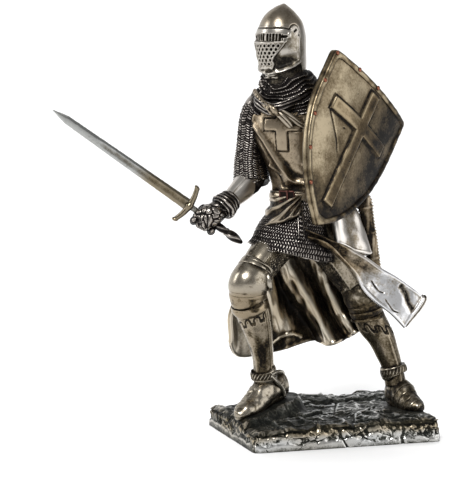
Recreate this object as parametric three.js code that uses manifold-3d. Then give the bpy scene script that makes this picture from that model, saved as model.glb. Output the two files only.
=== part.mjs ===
// A knight in a closed helmet, stepping forward on a rocky plinth with a drawn sword and a heater shield.
// Millimetres, +Z up. The origin is the centre of the plinth's flat underside, X along its long side,
// and -Y its front.

import * as THREE from "three";
import Module from "manifold-3d";

const wasm = await Module();
wasm.setup();

// Plinth
const PLINTH_LENGTH = 104;
const PLINTH_DEPTH = 82.4;
const PLINTH_HEIGHT = 13.4; // underside to the ground that the left foot stands on
const SLAB_SIZE = 19; // stones in the rocky top
const SLAB_STEP = 2.2; // height between neighbouring stones
const EDGE_CHIP = 1.1; // how far the sides are chipped in
const EDGE_BAND = 0.07; // share of the plinth's half size in which its top falls to the edge
const SIDE_LEVELS = [0.62, 0.3, 0]; // shares of its height at which the chipped sides bend
const PLINTH_COLUMNS = 17;
const PLINTH_ROWS = 13;

// Figure
const FIGURE_HEIGHT = 215.2; // ground to the point of the helmet
const FIGURE_TURN = THREE.MathUtils.degToRad(17.49); // pose turned from the plinth's long side
const SOLE_MARGIN = 1.5; // flat stone left round each foot
const COAT_THICKNESS = 2.6;
const FLAP_THICKNESS = 2.4;

// Shield
const SHIELD_WIDTH = 71.9;
const SHIELD_HEIGHT = 85.5;
const SHIELD_STRAIGHT = 0.25; // share of its height with straight sides
const SHIELD_THICKNESS = 3;
const SHIELD_BULGE = 5; // how far its sides fall back behind its middle
const RIM_WIDTH = 3.4;
const RIM_HEIGHT = 0.9;
const RIM_SLOPE = 0.3; // width of the step between the rim and the face
const SHIELD_ROWS = 9;
const CROSS_DROP = 25.4; // top edge down to the crossing
const CROSS_ARM = 24.8; // crossing to the end of a side arm
const CROSS_HEAD = 20.5;
const CROSS_FOOT = 47.5;
const CROSS_WIDTH = 7.8;
const CROSS_HEIGHT = 1.3;
const CROSS_ROOT = 0.5; // how deep the cross is set into the face

// Sword
const BLADE_LENGTH = 87; // guard to point
const BLADE_WIDTH = 6.3;
const BLADE_THICKNESS = 2;
const GUARD_SPAN = 22.4;
const GUARD_DROOP = 2.6;
const GUARD_THICKNESS = 3;
const GRIP_RADIUS = 1.6;
const TANG_LENGTH = 15; // guard to the end of the grip inside the fist

const CLEARANCE = 0.3; // between pieces that are glued together

// Every point of the pose is a share of the figure's height, written in millimetres of a figure
// this tall: u to the viewer's right, w away from the viewer, z above the ground.
const POSE_HEIGHT = 215.2;
const share = FIGURE_HEIGHT / POSE_HEIGHT;
const at = (u, w, z) => new THREE.Vector3(u, w, z).multiplyScalar(share);
const towards = (u, w, z) => new THREE.Vector3(u, w, z).normalize();
const toRadians = THREE.MathUtils.degToRad;
const UP = new THREE.Vector3(0, 0, 1);

// Solids

function solid(points, triangles) {
  const positions = new Float32Array(points.length * 3);
  points.forEach((point, i) => point.toArray(positions, i * 3));
  let volume = 0;
  for (const [a, b, c] of triangles) {
    volume += points[a].dot(new THREE.Vector3().crossVectors(points[b], points[c]));
  }
  const outward = volume > 0 ? triangles : triangles.map(([a, b, c]) => [a, c, b]);
  const mesh = new wasm.Mesh({
    numProp: 3,
    vertProperties: positions,
    triVerts: new Uint32Array(outward.flat()),
  });
  return new wasm.Manifold(mesh);
}

function union(solids) {
  return solids.reduce((sum, next) => sum.add(next));
}

// The same body cast solid: hollows sealed inside it are filled.
function filled(body) {
  return union(body.decompose().filter((shell) => shell.volume() > 0));
}

// A closed solid through rings of equal size, with a flat cap at each end.
function loft(rings) {
  const size = rings[0].length;
  const points = rings.flat();
  const triangles = [];
  for (let r = 0; r + 1 < rings.length; r += 1) {
    for (let i = 0; i < size; i += 1) {
      const a = r * size + i;
      const b = r * size + ((i + 1) % size);
      triangles.push([a, b, b + size], [a, b + size, a + size]);
    }
  }
  const cap = (start, flip) => {
    const middle = new THREE.Vector3();
    for (let i = 0; i < size; i += 1) {
      middle.add(points[start + i]);
    }
    points.push(middle.divideScalar(size));
    const hub = points.length - 1;
    for (let i = 0; i < size; i += 1) {
      const a = start + i;
      const b = start + ((i + 1) % size);
      triangles.push(flip ? [hub, b, a] : [hub, a, b]);
    }
  };
  cap(0, true);
  cap((rings.length - 1) * size, false);
  return solid(points, triangles);
}

// Rows of numbers read as one smooth curve, from the first row at 0 to the last at 1.
function along(rows, t) {
  const place = THREE.MathUtils.clamp(t, 0, 1) * (rows.length - 1);
  const i = Math.min(Math.floor(place), rows.length - 2);
  const f = place - i;
  const before = rows[Math.max(i - 1, 0)];
  const after = rows[Math.min(i + 2, rows.length - 1)];
  return rows[i].map((p, k) => {
    const q = rows[i + 1][k];
    const inward = (q - before[k]) / 2;
    const outward = (after[k] - p) / 2;
    const c2 = 3 * (q - p) - 2 * inward - outward;
    const c3 = 2 * (p - q) + inward + outward;
    return p + inward * f + c2 * f * f + c3 * f * f * f;
  });
}

// A limb or a garment round a curved path. Each row is u, w, z, half width, half depth; the depth
// lies in the direction ahead, and relief(t, angle) pushes the skin out, 90 degrees being ahead.
function limb(rows, ahead, { rings = 9, around = 12, relief = () => 0 } = {}) {
  const path = (t) => at(...along(rows, t).slice(0, 3));
  const loops = [];
  for (let r = 0; r < rings; r += 1) {
    const t = r / (rings - 1);
    const [, , , wide, deep] = along(rows, t);
    const tangent = path(t + 0.01).sub(path(t - 0.01)).normalize();
    const side = new THREE.Vector3().crossVectors(tangent, ahead).normalize();
    const front = new THREE.Vector3().crossVectors(side, tangent);
    const loop = [];
    for (let i = 0; i < around; i += 1) {
      const angle = (2 * Math.PI * i) / around;
      const spoke = side.clone().multiplyScalar(Math.cos(angle) * wide * share);
      spoke.addScaledVector(front, Math.sin(angle) * deep * share);
      spoke.setLength(spoke.length() + relief(t, THREE.MathUtils.radToDeg(angle)) * share);
      loop.push(path(t).add(spoke));
    }
    loops.push(loop);
  }
  return loft(loops);
}

// A sheet of even thickness on either side of a curved surface of two shares, 0 to 1.
function sheet(surface, thickness, columns, rows) {
  const faces = [[], []];
  for (let j = 0; j <= rows; j += 1) {
    for (let i = 0; i <= columns; i += 1) {
      const s = i / columns;
      const t = j / rows;
      const across = surface(Math.min(s + 0.01, 1), t).sub(surface(Math.max(s - 0.01, 0), t));
      const down = surface(s, Math.min(t + 0.01, 1)).sub(surface(s, Math.max(t - 0.01, 0)));
      const normal = across.cross(down).normalize();
      faces[0].push(surface(s, t).addScaledVector(normal, thickness / 2));
      faces[1].push(surface(s, t).addScaledVector(normal, -thickness / 2));
    }
  }
  const points = faces.flat();
  const half = faces[0].length;
  const index = (i, j) => j * (columns + 1) + i;
  const triangles = [];
  for (let j = 0; j < rows; j += 1) {
    for (let i = 0; i < columns; i += 1) {
      const [a, b, c, d] = [index(i, j), index(i + 1, j), index(i + 1, j + 1), index(i, j + 1)];
      triangles.push([a, b, c], [a, c, d]);
      triangles.push([a + half, c + half, b + half], [a + half, d + half, c + half]);
    }
  }
  const border = [];
  for (let i = 0; i < columns; i += 1) {
    border.push([index(i, 0), index(i + 1, 0)]);
    border.push([index(i + 1, rows), index(i, rows)]);
  }
  for (let j = 0; j < rows; j += 1) {
    border.push([index(columns, j), index(columns, j + 1)]);
    border.push([index(0, j + 1), index(0, j)]);
  }
  for (const [a, b] of border) {
    triangles.push([a, b + half, b], [a, a + half, b + half]);
  }
  return solid(points, triangles);
}

// A surface whose lines run between a top edge and a lower edge, both given as rows of u, w, z.
// A lean moves the lines sideways on their way down.
function ruled(top, bottom, relief = () => [0, 0, 0], lean = (s) => s) {
  return (s, t) => {
    const a = along(top, lean(s, t));
    const b = along(bottom, lean(s, t));
    const [du, dw, dz] = relief(s, t);
    return at(a[0] + (b[0] - a[0]) * t + du, a[1] + (b[1] - a[1]) * t + dw, a[2] + (b[2] - a[2]) * t + dz);
  };
}

// A block of the given width, depth and height about the origin of a frame.
function box(width, depth, height, frame) {
  const corner = (x, y, z) => new THREE.Vector3(x * width, y * depth, z * height).applyMatrix4(frame);
  return loft([-0.5, 0.5].map((z) => [
    corner(-0.5, -0.5, z),
    corner(0.5, -0.5, z),
    corner(0.5, 0.5, z),
    corner(-0.5, 0.5, z),
  ]));
}

// A frame at a point: x along one direction, z as near as can be to another.
function frameAt(point, xAxis, zHint) {
  const yAxis = new THREE.Vector3().crossVectors(zHint, xAxis).normalize();
  const zAxis = new THREE.Vector3().crossVectors(xAxis, yAxis);
  return new THREE.Matrix4().makeBasis(xAxis, yAxis, zAxis).setPosition(point);
}

const smooth = (low, high, value) => THREE.MathUtils.smoothstep(value, low, high);

// Directions of the pose
const HELMET_AHEAD = towards(-0.5, -0.866, 0);
const CHEST_AHEAD = towards(-0.29, -0.956, 0);
const RIGHT_FOOT_AHEAD = towards(-0.655, -0.755, 0);
const LEFT_FOOT_AHEAD = towards(0.52, -0.85, 0);

// Feet on the ground: toe, heel, and half the width of the flat stone
const feet = [
  { toe: at(-46, -26.3, -0.8), heel: at(-18.6, 4.5, 6.6), half: 7.2 * share },
  { toe: at(52.8, -10, 0), heel: at(37, 16, 0), half: 7 * share },
];

// Height of a foot's sole plane over a point of the plinth, both in the figure's own frame.
function solePlane({ toe, heel }, u, w) {
  const run = new THREE.Vector2(heel.x - toe.x, heel.y - toe.y);
  const t = ((u - toe.x) * run.x + (w - toe.y) * run.y) / run.lengthSq();
  return toe.z + (heel.z - toe.z) * t;
}

// Distance from a point to a foot's outline, negative inside it.
function footDistance({ toe, heel, half }, u, w) {
  const run = new THREE.Vector2(heel.x - toe.x, heel.y - toe.y);
  const t = THREE.MathUtils.clamp(((u - toe.x) * run.x + (w - toe.y) * run.y) / run.lengthSq(), 0.12, 0.88);
  return Math.hypot(u - toe.x - run.x * t, w - toe.y - run.y * t) - half;
}

// Plinth: a block of split stone

function scatter(i, j, k) {
  const value = Math.sin(i * 12.9898 + j * 78.233 + k * 37.719) * 43758.5453;
  return value - Math.floor(value);
}

// Height of the stones over the ground, each a tilted slab of its own.
function stones(x, y) {
  const column = Math.floor(x / SLAB_SIZE);
  const row = Math.floor(y / SLAB_SIZE);
  let nearest = Infinity;
  let height = 0;
  for (let i = column - 1; i <= column + 1; i += 1) {
    for (let j = row - 1; j <= row + 1; j += 1) {
      const dx = x - (i + scatter(i, j, 0)) * SLAB_SIZE;
      const dy = y - (j + scatter(i, j, 1)) * SLAB_SIZE;
      const distance = Math.hypot(dx, dy);
      if (distance < nearest) {
        const lean = (SLAB_STEP * 1.2) / SLAB_SIZE;
        nearest = distance;
        height = (scatter(i, j, 2) - 0.5) * SLAB_STEP;
        height += dx * (scatter(i, j, 3) - 0.5) * lean + dy * (scatter(i, j, 4) - 0.5) * lean;
      }
    }
  }
  return height;
}

function plinthTop(x, y) {
  const u = x * Math.cos(FIGURE_TURN) - y * Math.sin(FIGURE_TURN);
  const w = x * Math.sin(FIGURE_TURN) + y * Math.cos(FIGURE_TURN);
  const fall = SLAB_STEP * (0.55 + (1.1 * x) / PLINTH_LENGTH + (0.5 * y) / PLINTH_DEPTH);
  let height = PLINTH_HEIGHT + stones(x, y) + fall - SLAB_STEP;
  for (const foot of feet) {
    const ground = PLINTH_HEIGHT + solePlane(foot, u, w);
    const blend = smooth(SOLE_MARGIN, SOLE_MARGIN + SLAB_SIZE * 0.3, footDistance(foot, u, w));
    height = ground + (height - ground) * blend;
  }
  return height;
}

function plinth() {
  const points = [];
  const rim = (x, y) => {
    const edge = Math.max(Math.abs(x) / (PLINTH_LENGTH / 2), Math.abs(y) / (PLINTH_DEPTH / 2));
    return smooth(1 - EDGE_BAND, 1, edge) * EDGE_CHIP;
  };
  for (let j = 0; j <= PLINTH_ROWS; j += 1) {
    for (let i = 0; i <= PLINTH_COLUMNS; i += 1) {
      const x = PLINTH_LENGTH * (i / PLINTH_COLUMNS - 0.5);
      const y = PLINTH_DEPTH * (j / PLINTH_ROWS - 0.5);
      const inset = rim(x, y) * (0.4 + scatter(i, j, 5));
      points.push(new THREE.Vector3(
        x - Math.sign(x) * inset * (i % PLINTH_COLUMNS === 0),
        y - Math.sign(y) * inset * (j % PLINTH_ROWS === 0),
        plinthTop(x, y) - rim(x, y),
      ));
    }
  }
  const index = (i, j) => j * (PLINTH_COLUMNS + 1) + i;
  const triangles = [];
  for (let j = 0; j < PLINTH_ROWS; j += 1) {
    for (let i = 0; i < PLINTH_COLUMNS; i += 1) {
      const [a, b, c, d] = [index(i, j), index(i + 1, j), index(i + 1, j + 1), index(i, j + 1)];
      triangles.push([a, b, c], [a, c, d]);
    }
  }
  const border = [];
  for (let i = 0; i < PLINTH_COLUMNS; i += 1) {
    border.push([i, 0]);
  }
  for (let j = 0; j < PLINTH_ROWS; j += 1) {
    border.push([PLINTH_COLUMNS, j]);
  }
  for (let i = PLINTH_COLUMNS; i > 0; i -= 1) {
    border.push([i, PLINTH_ROWS]);
  }
  for (let j = PLINTH_ROWS; j > 0; j -= 1) {
    border.push([0, j]);
  }
  let above = border.map(([i, j]) => index(i, j));
  for (const level of SIDE_LEVELS) {
    const ring = border.map(([i, j], n) => {
      const x = PLINTH_LENGTH * (i / PLINTH_COLUMNS - 0.5);
      const y = PLINTH_DEPTH * (j / PLINTH_ROWS - 0.5);
      const inset = level > 0 ? EDGE_CHIP * scatter(n, level * 10, 6) : EDGE_CHIP * 0.3;
      points.push(new THREE.Vector3(
        x - Math.sign(x) * inset * (i % PLINTH_COLUMNS === 0),
        y - Math.sign(y) * inset * (j % PLINTH_ROWS === 0),
        PLINTH_HEIGHT * level,
      ));
      return points.length - 1;
    });
    ring.forEach((corner, n) => {
      const next = (n + 1) % ring.length;
      triangles.push([above[n], corner, ring[next]], [above[n], ring[next], above[next]]);
    });
    above = ring;
  }
  points.push(new THREE.Vector3(0, 0, 0));
  above.forEach((corner, n) => {
    triangles.push([points.length - 1, above[(n + 1) % above.length], corner]);
  });
  return solid(points, triangles);
}

// Helmet: a pointed skull with a pivoted visor, and the mail and scarf round the neck

function helmet() {
  const skull = limb([
    [-20.2, -1, 175, 10.7, 11.5],
    [-21.2, -1.6, 183, 12, 12.9],
    [-22.3, -2, 192, 12.8, 13.7],
    [-22.3, -2, 200, 12.4, 13.3],
    [-21.9, -1.7, 207, 10.1, 10.9],
    [-21.4, -1.3, 212, 5.6, 6.1],
    [-21, -1, 215.2, 0.7, 0.7],
  ], HELMET_AHEAD, { rings: 8, around: 14 });
  const face = (angle) => smooth(0.05, 0.6, Math.sin(toRadians(angle)));
  const visor = limb([
    [-22.6, -2.3, 180.5, 9.2, 10.4],
    [-22.6, -2.3, 185.5, 11.6, 13],
    [-22.6, -2.3, 191, 12.5, 13.8],
    [-22.6, -2.3, 194.9, 13, 14.4],
    [-22.4, -2.2, 196, 12.3, 13.5],
    [-22.3, -2.1, 199.6, 12.3, 13.5],
    [-22.2, -2, 202.6, 11.7, 12.8],
  ], HELMET_AHEAD, { rings: 7, around: 14, relief: (t, angle) => face(angle) * 1.1 - 0.9 });
  const pivots = [-1, 1].map((side) => {
    const across = new THREE.Vector3().crossVectors(UP, HELMET_AHEAD).multiplyScalar(side);
    const out = across.addScaledVector(HELMET_AHEAD, 0.24).normalize();
    const centre = at(-22.2, -2, 201);
    const rings = [11.7, 13.2].map((distance) => (
      disc(centre.clone().addScaledVector(out, distance * share), out, 2, 7)
    ));
    return loft(rings);
  });
  return [skull, visor, ...pivots];
}

function disc(centre, axis, radius, count) {
  const side = new THREE.Vector3().crossVectors(axis, UP).normalize();
  const front = new THREE.Vector3().crossVectors(side, axis);
  const ring = [];
  for (let i = 0; i < count; i += 1) {
    const angle = (2 * Math.PI * i) / count;
    const point = centre.clone().addScaledVector(side, Math.cos(angle) * radius * share);
    ring.push(point.addScaledVector(front, Math.sin(angle) * radius * share));
  }
  return ring;
}

function neck() {
  const folds = (t, angle) => 0.8 * Math.sin(toRadians(angle * 2) + t * 9) * Math.sin(Math.PI * t);
  const cowl = limb([
    [-21.6, -1.2, 182, 9.6, 11],
    [-20.6, -1, 177, 12.4, 12.4],
    [-18.8, -0.6, 171.5, 16.6, 14],
    [-18.8, 0, 166, 19.6, 14.6],
    [-18.4, 0.4, 160.5, 21.6, 14.8],
    [-18.4, 0.4, 157, 20.6, 13.6],
  ], CHEST_AHEAD, { rings: 6, around: 14, relief: folds });
  const scarf = limb([
    [-33, 2, 166, 2, 3],
    [-34, -8, 163.6, 2.6, 3.6],
    [-26.6, -14, 160, 3, 4],
    [-18, -13.2, 162.6, 2.8, 3.8],
    [-8.6, -8.4, 168.5, 2.6, 3.6],
    [-3.6, -1, 172, 2, 3],
  ], towards(-0.2, -0.7, 0.7), { rings: 8, around: 6 });
  const knot = limb([
    [-29.6, -14.6, 161.6, 1.4, 1.4],
    [-26.6, -15.4, 160, 3.2, 3],
    [-23.6, -14.6, 158.6, 1.6, 1.6],
  ], CHEST_AHEAD, { rings: 4, around: 6 });
  const tail = (end) => limb([
    [-26, -14.6, 159.4, 1.6, 1.1],
    [(end[0] - 26) / 2, -15.6, (end[2] + 159.4) / 2 - 0.6, 1.8, 1],
    [...end, 1.5, 0.8],
  ], CHEST_AHEAD, { rings: 3, around: 5 });
  return [cowl, scarf, knot, tail([-17.4, -15.4, 152]), tail([-11, -14.6, 152])];
}

// Torso: surcoat with a raised cross, belt and hanging strap

function torso() {
  const pleats = (t, angle) => {
    const waist = smooth(0.35, 0.75, t) * (1 - smooth(0.75, 0.95, t));
    return 0.8 * waist * Math.sin(toRadians(angle * 6));
  };
  const chest = limb([
    [-18.6, 0.6, 166, 16, 10.5],
    [-18.5, 0.6, 159.5, 19.6, 13],
    [-18.2, 0.2, 151.5, 20, 14.6],
    [-17.4, 0, 143.5, 18.2, 14],
    [-16.5, 0, 135.5, 15.4, 12.4],
    [-15.5, 0, 127.5, 13, 10.8],
    [-14.7, 0, 121, 11.9, 9.9],
    [-14.3, 0.2, 115.5, 12.2, 10.4],
    [-13.8, 1, 108, 14.6, 12.4],
    [-13.4, 2, 99, 17, 14],
  ], CHEST_AHEAD, { rings: 9, around: 14, relief: pleats });
  const belt = limb([
    [-14.6, 0, 117.2, 12.6, 10.8],
    [-14.6, 0, 116.8, 13.4, 11.6],
    [-14.4, 0.1, 112.8, 13.7, 11.9],
    [-14.4, 0.1, 112.4, 12.8, 11],
  ], CHEST_AHEAD, { rings: 4, around: 14 });
  const across = new THREE.Vector3().crossVectors(UP, CHEST_AHEAD).normalize();
  const front = at(-18.2, 0.2, 151.8).addScaledVector(CHEST_AHEAD, 14.2 * share);
  const crossFrame = frameAt(front, across, UP);
  const cross = [
    box(19.5 * share, 2.6 * share, 5.6 * share, crossFrame),
    box(6 * share, 2.6 * share, 21 * share, frameAt(front.clone().add(at(0.4, 0, -4)), across, UP)),
  ];
  const buckle = box(6 * share, 2.4 * share, 6 * share, frameAt(at(-18.6, -12.2, 114.8), across, UP));
  const strap = sheet(ruled(
    [[-15.6, -12.6, 113], [-14.6, -14.8, 107], [-14, -18.6, 97.5], [-14, -21.4, 93.6]],
    [[-12, -12.2, 112.8], [-11.1, -14.2, 106.8], [-10.6, -18, 97.3], [-10.6, -21, 93.4]],
  ), 1.5 * share, 4, 1);
  return [chest, belt, ...cross, buckle, strap];
}

// Below the belt: mail skirt, short front of the surcoat, long back, flying flap and scabbard

function mailSkirt() {
  const push = (t, angle) => {
    const thigh = Math.max(0, Math.cos(toRadians(angle - 68)));
    return 8.2 * t ** 1.5 * thigh ** 4;
  };
  return limb([
    [-14, 0.6, 115, 10.6, 9.2],
    [-13.8, 0.4, 108.5, 14, 12.4],
    [-14.2, 0, 101, 16.8, 15.2],
    [-15.4, -0.6, 93.5, 19.8, 16.6],
    [-16.2, -1, 88, 22.2, 17],
    [-17, -1, 84.4, 23.2, 16.6],
  ], towards(-0.29, -0.956, -0.12), { rings: 6, around: 16, relief: push });
}

function surcoat() {
  const frontLeft = sheet(ruled(
    [[-11.8, -12.2, 115], [-18, -12.4, 115], [-23.2, -8.2, 115], [-25, -1, 115], [-22.6, 7, 115]],
    [[-12.6, -17.6, 105.6], [-21.6, -18.2, 101.8], [-29.6, -12.4, 98.6], [-31.6, 0, 97], [-29, 12, 94]],
    (s, t) => [0, -0.7 * t * Math.sin(s * 16), 0],
  ), COAT_THICKNESS * share, 8, 2);
  const fold = (s, t) => {
    const wave = Math.sin(s * Math.PI * 8.9 + 2.9);
    const depth = 3.6 * smooth(0.05, 0.7, t) * (0.5 + 0.5 * smooth(0.1, 0.3, s));
    const spread = 4.5 * smooth(0.35, 0.75, t) * (1 - smooth(0.75, 1, t)) * (1 - smooth(0, 0.25, s));
    return [wave * depth * 0.25 - spread, wave * depth, 0];
  };
  const lean = (s, t) => s + 0.54 * (t - 0.5) * Math.sin(Math.PI * s);
  const back = sheet(ruled(
    [[-28.2, 3, 104], [-27, 12, 104], [-19, 16.6, 104], [-8, 17, 104], [4, 14, 104], [9, 6, 104]],
    [[-49.4, 7, 34], [-44.4, 19, 24.6], [-26, 25, 26.2], [-6, 24, 32.2], [8, 20, 31.6], [23, 12, 41]],
    fold,
    lean,
  ), COAT_THICKNESS * share, 22, 4);
  const hip = sheet(ruled(
    [[2, -10.6, 113], [8.6, -7.6, 112], [13.6, -0.8, 111], [15.4, 5, 110.6], [10, 11, 111]],
    [[6, -15.6, 90], [14.6, -13, 86.6], [22.6, -4.6, 83], [23.4, 7, 84], [13, 15, 90]],
    (s, t) => [0.9 * t * Math.sin(s * 14), 0, 0],
  ), COAT_THICKNESS * share, 7, 3);
  return [frontLeft, back, hip];
}

function flyingFlap() {
  const wind = (s, t) => [0, -1.8 * Math.sin(s * 6.4 + t * 2.2) * smooth(0.05, 0.5, s), 0];
  const flap = sheet(ruled(
    [[-11, -15.4, 98], [1, -15.8, 92], [10.4, -14.4, 89], [22, -14, 83], [29.4, -14.6, 77.7],
      [38.4, -15, 72.4], [48, -13.6, 65.4], [52.4, -11, 61.6]],
    [[-9, -17.4, 93], [0.6, -18.6, 89.4], [7.4, -18, 83], [16, -17, 73.6], [20, -17, 66.4],
      [26, -17.4, 60], [34.4, -17, 53.6], [42, -15, 45.6]],
    wind,
  ), FLAP_THICKNESS * share, 11, 4);
  const hem = limb([
    [52.4, -11, 62.4, 1, 1],
    [52.6, -12.6, 60.4, 2, 2],
    [50, -14, 56, 1.9, 1.9],
    [46, -15, 51, 1.6, 1.6],
    [42.6, -15, 46.4, 1.2, 1.2],
  ], towards(0, -1, 0), { rings: 5, around: 6 });
  return [flap, hem];
}

function scabbard() {
  return limb([
    [22, 5, 113, 1.4, 1.4],
    [22.4, 5, 111, 3.4, 2.2],
    [25, 6.4, 95, 3.2, 2.1],
    [27.6, 8.4, 80, 3, 2],
    [29.4, 10.6, 66, 2.6, 1.8],
    [30.2, 11.6, 60, 1, 1],
  ], towards(0, -1, 0), { rings: 6, around: 6 });
}

// Legs: mail breeches, plate on the thigh, knee, shin and foot

const collar = (rows, ahead, around = 10) => limb(rows, ahead, { rings: rows.length, around });

function rightLeg() {
  const thigh = limb([
    [-17.5, 1, 97, 13, 13],
    [-25, -7, 89, 11.6, 12],
    [-32.6, -14.6, 80, 9.6, 10.4],
    [-37, -19, 73.4, 8.6, 9.2],
    [-39, -20.6, 68, 8.2, 8.4],
  ], RIGHT_FOOT_AHEAD, { rings: 5, around: 10 });
  const knee = limb([
    [-35.2, -17.6, 77.8, 8, 8.4],
    [-36.4, -18.8, 76.4, 10, 10.2],
    [-37.8, -20, 73.8, 9.6, 9.8],
    [-39.6, -21.2, 69, 9.8, 11.4],
    [-40, -20.4, 64, 9.2, 10.4],
    [-39.4, -19.6, 62.8, 9.6, 10.6],
    [-38.8, -19, 57.6, 9.4, 9.8],
    [-38.6, -18.8, 56.8, 8.4, 8.8],
  ], RIGHT_FOOT_AHEAD, { rings: 8, around: 11 });
  const fin = limb([
    [-31.4, -22.4, 71, 3.4, 3.2],
    [-28.8, -22.6, 71.6, 4, 3.6],
    [-27.4, -22.6, 71.8, 1.4, 1.4],
  ], RIGHT_FOOT_AHEAD, { rings: 3, around: 6 });
  const shin = limb([
    [-38.8, -19.4, 64, 8, 8.4],
    [-37.2, -18, 55, 9, 9.4],
    [-35, -15.4, 47, 7.8, 8.6],
    [-33.2, -12.8, 38, 6.4, 7],
    [-32, -10.6, 30, 5.6, 5.8],
    [-31.4, -9, 22, 5.4, 5.6],
    [-31, -8, 14, 5.6, 6],
  ], RIGHT_FOOT_AHEAD, { rings: 7, around: 10 });
  const ankle = collar([
    [-31.6, -9.4, 22.4, 5.6, 5.8],
    [-31.5, -9.2, 21.8, 6.7, 7],
    [-31.2, -8.8, 18.6, 6.8, 7.2],
    [-31.2, -8.7, 18, 5.8, 6.2],
  ], RIGHT_FOOT_AHEAD);
  const foot = limb([
    [-20, 3, 13, 2.6, 3.4],
    [-21.6, 1.4, 12.6, 5, 7],
    [-26, -3.6, 11.8, 6.2, 8.6],
    [-32, -10.4, 9.4, 6.6, 8.4],
    [-38, -17.4, 4.8, 6.8, 6.4],
    [-42.4, -22.4, 2, 5.6, 4.6],
    [-45.4, -25.6, 0.6, 2.8, 2.8],
    [-46.2, -26.4, 0.2, 0.8, 1],
  ], UP, { rings: 8, around: 10 });
  return [thigh, knee, fin, shin, ankle, foot];
}

function leftLeg() {
  const thigh = limb([
    [-4, 4, 98, 13, 13],
    [4, 5.4, 88, 12.4, 12.6],
    [13, 6.6, 74, 10.4, 11],
    [19, 7, 64, 8.8, 9.2],
    [21.4, 7.2, 58, 8, 8.4],
  ], LEFT_FOOT_AHEAD, { rings: 5, around: 10 });
  const knee = limb([
    [17.6, 6.8, 67.6, 8.8, 9],
    [18.2, 6.6, 66.6, 9.8, 10.2],
    [19.6, 6, 63.6, 9.2, 9.8],
    [21.4, 5.4, 59, 9.2, 11],
    [23, 6, 53.6, 8.8, 9.6],
    [23.6, 6.4, 52.6, 9.2, 9.8],
    [24.8, 6.8, 47.6, 8.8, 9],
    [25, 6.8, 46.8, 7.8, 8],
  ], LEFT_FOOT_AHEAD, { rings: 8, around: 11 });
  const fin = limb([
    [27.6, 2.6, 60.4, 3.2, 3],
    [30, 2, 60, 3.8, 3.4],
    [31.2, 1.8, 59.8, 1.4, 1.4],
  ], LEFT_FOOT_AHEAD, { rings: 3, around: 6 });
  const shin = limb([
    [22.4, 7, 56, 7.6, 8],
    [26.6, 7.2, 46, 8.2, 8.8],
    [31.6, 7.4, 38, 7.2, 8],
    [35.4, 7.6, 29, 6.2, 6.6],
    [38.2, 7.8, 21, 5.4, 5.8],
    [40.2, 7.8, 12, 5.6, 6],
  ], LEFT_FOOT_AHEAD, { rings: 5, around: 10 });
  const ankle = collar([
    [38.2, 7.7, 21.6, 5.6, 6],
    [38.5, 7.7, 21, 6.8, 7.2],
    [39.4, 7.7, 17.8, 7, 7.6],
    [39.6, 7.7, 17.2, 6, 6.4],
  ], LEFT_FOOT_AHEAD);
  const foot = limb([
    [37.4, 14.6, 5.4, 2.6, 3.4],
    [38.4, 13.4, 5.6, 5, 7],
    [40.6, 10, 6.2, 6.4, 9.2],
    [43.4, 5, 6, 6.6, 9],
    [46.2, -0.4, 3.4, 6.2, 6.8],
    [49.2, -5, 1.8, 5.6, 5],
    [51.6, -8.4, 1, 3.4, 3.4],
    [52.4, -9.4, 0.8, 1, 1.4],
  ], UP, { rings: 8, around: 10 });
  return [thigh, knee, fin, shin, ankle, foot];
}

// Arms and sword

const GUARD_CENTRE = at(-70.6, -14.2, 109.9);
const SWORD_AXIS = towards(-71.2, -2, 50.4); // grip to point
const BLADE_ACROSS = towards(-0.57, 0.12, -0.81);

const onSword = (distance) => GUARD_CENTRE.clone().addScaledVector(SWORD_AXIS, distance);

function swordRing(distance, halfWidth, halfDepth, count) {
  const deep = new THREE.Vector3().crossVectors(SWORD_AXIS, BLADE_ACROSS).normalize();
  const wide = new THREE.Vector3().crossVectors(deep, SWORD_AXIS);
  const ring = [];
  for (let i = 0; i < count; i += 1) {
    const angle = (2 * Math.PI * i) / count;
    const point = onSword(distance).addScaledVector(wide, Math.cos(angle) * halfWidth);
    ring.push(point.addScaledVector(deep, Math.sin(angle) * halfDepth));
  }
  return ring;
}

function rightArm() {
  const ahead = towards(-0.6, -0.8, 0);
  const sleeve = limb([
    [-28, 3.4, 163, 5, 6],
    [-33, 5, 161.4, 8, 9],
    [-36.4, 6, 156, 7, 8],
    [-37.8, 6.4, 149, 6.6, 7.2],
    [-38.8, 6.2, 140, 6.4, 7],
    [-38.6, 5.8, 132, 7.8, 8.2],
    [-38, 4.8, 124.6, 9, 9.2],
    [-37.8, 4.2, 122, 8.8, 9],
    [-38.2, 4.2, 123.6, 7, 7.4],
  ], ahead, { rings: 9, around: 12 });
  const forearm = limb([
    [-36, 6.4, 127, 7, 7],
    [-39.6, 2.6, 121.4, 7, 7],
    [-43.4, -1.4, 117.4, 6.4, 6.4],
    [-47.4, -5.2, 113.8, 5.4, 5.4],
    [-51, -8.6, 110.8, 4.8, 4.8],
    [-55, -11, 107.6, 4.6, 4.6],
  ], UP, { rings: 4, around: 10 });
  const cuff = collar([
    [-48.6, -6.4, 112.6, 5, 5],
    [-49.2, -6.9, 112.2, 6.4, 6.4],
    [-50.4, -8, 111.2, 6, 6],
    [-52, -9.4, 109.9, 7.2, 7.2],
    [-53.4, -10.6, 108.7, 7, 7],
    [-54, -11, 108.2, 5.4, 5.4],
  ], UP);
  const palm = limb([
    [-53, -10.6, 108.6, 4.6, 4.6],
    [-56.6, -12.6, 106.4, 6, 5.6],
    [-61, -13.6, 104, 7, 6],
    [-65, -14.4, 101.6, 5.6, 5],
    [-67, -14.8, 100.4, 2.4, 2.4],
  ], UP, { rings: 5, around: 10 });
  return [sleeve, forearm, cuff, palm, ...fingers(), ...hilt()];
}

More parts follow.
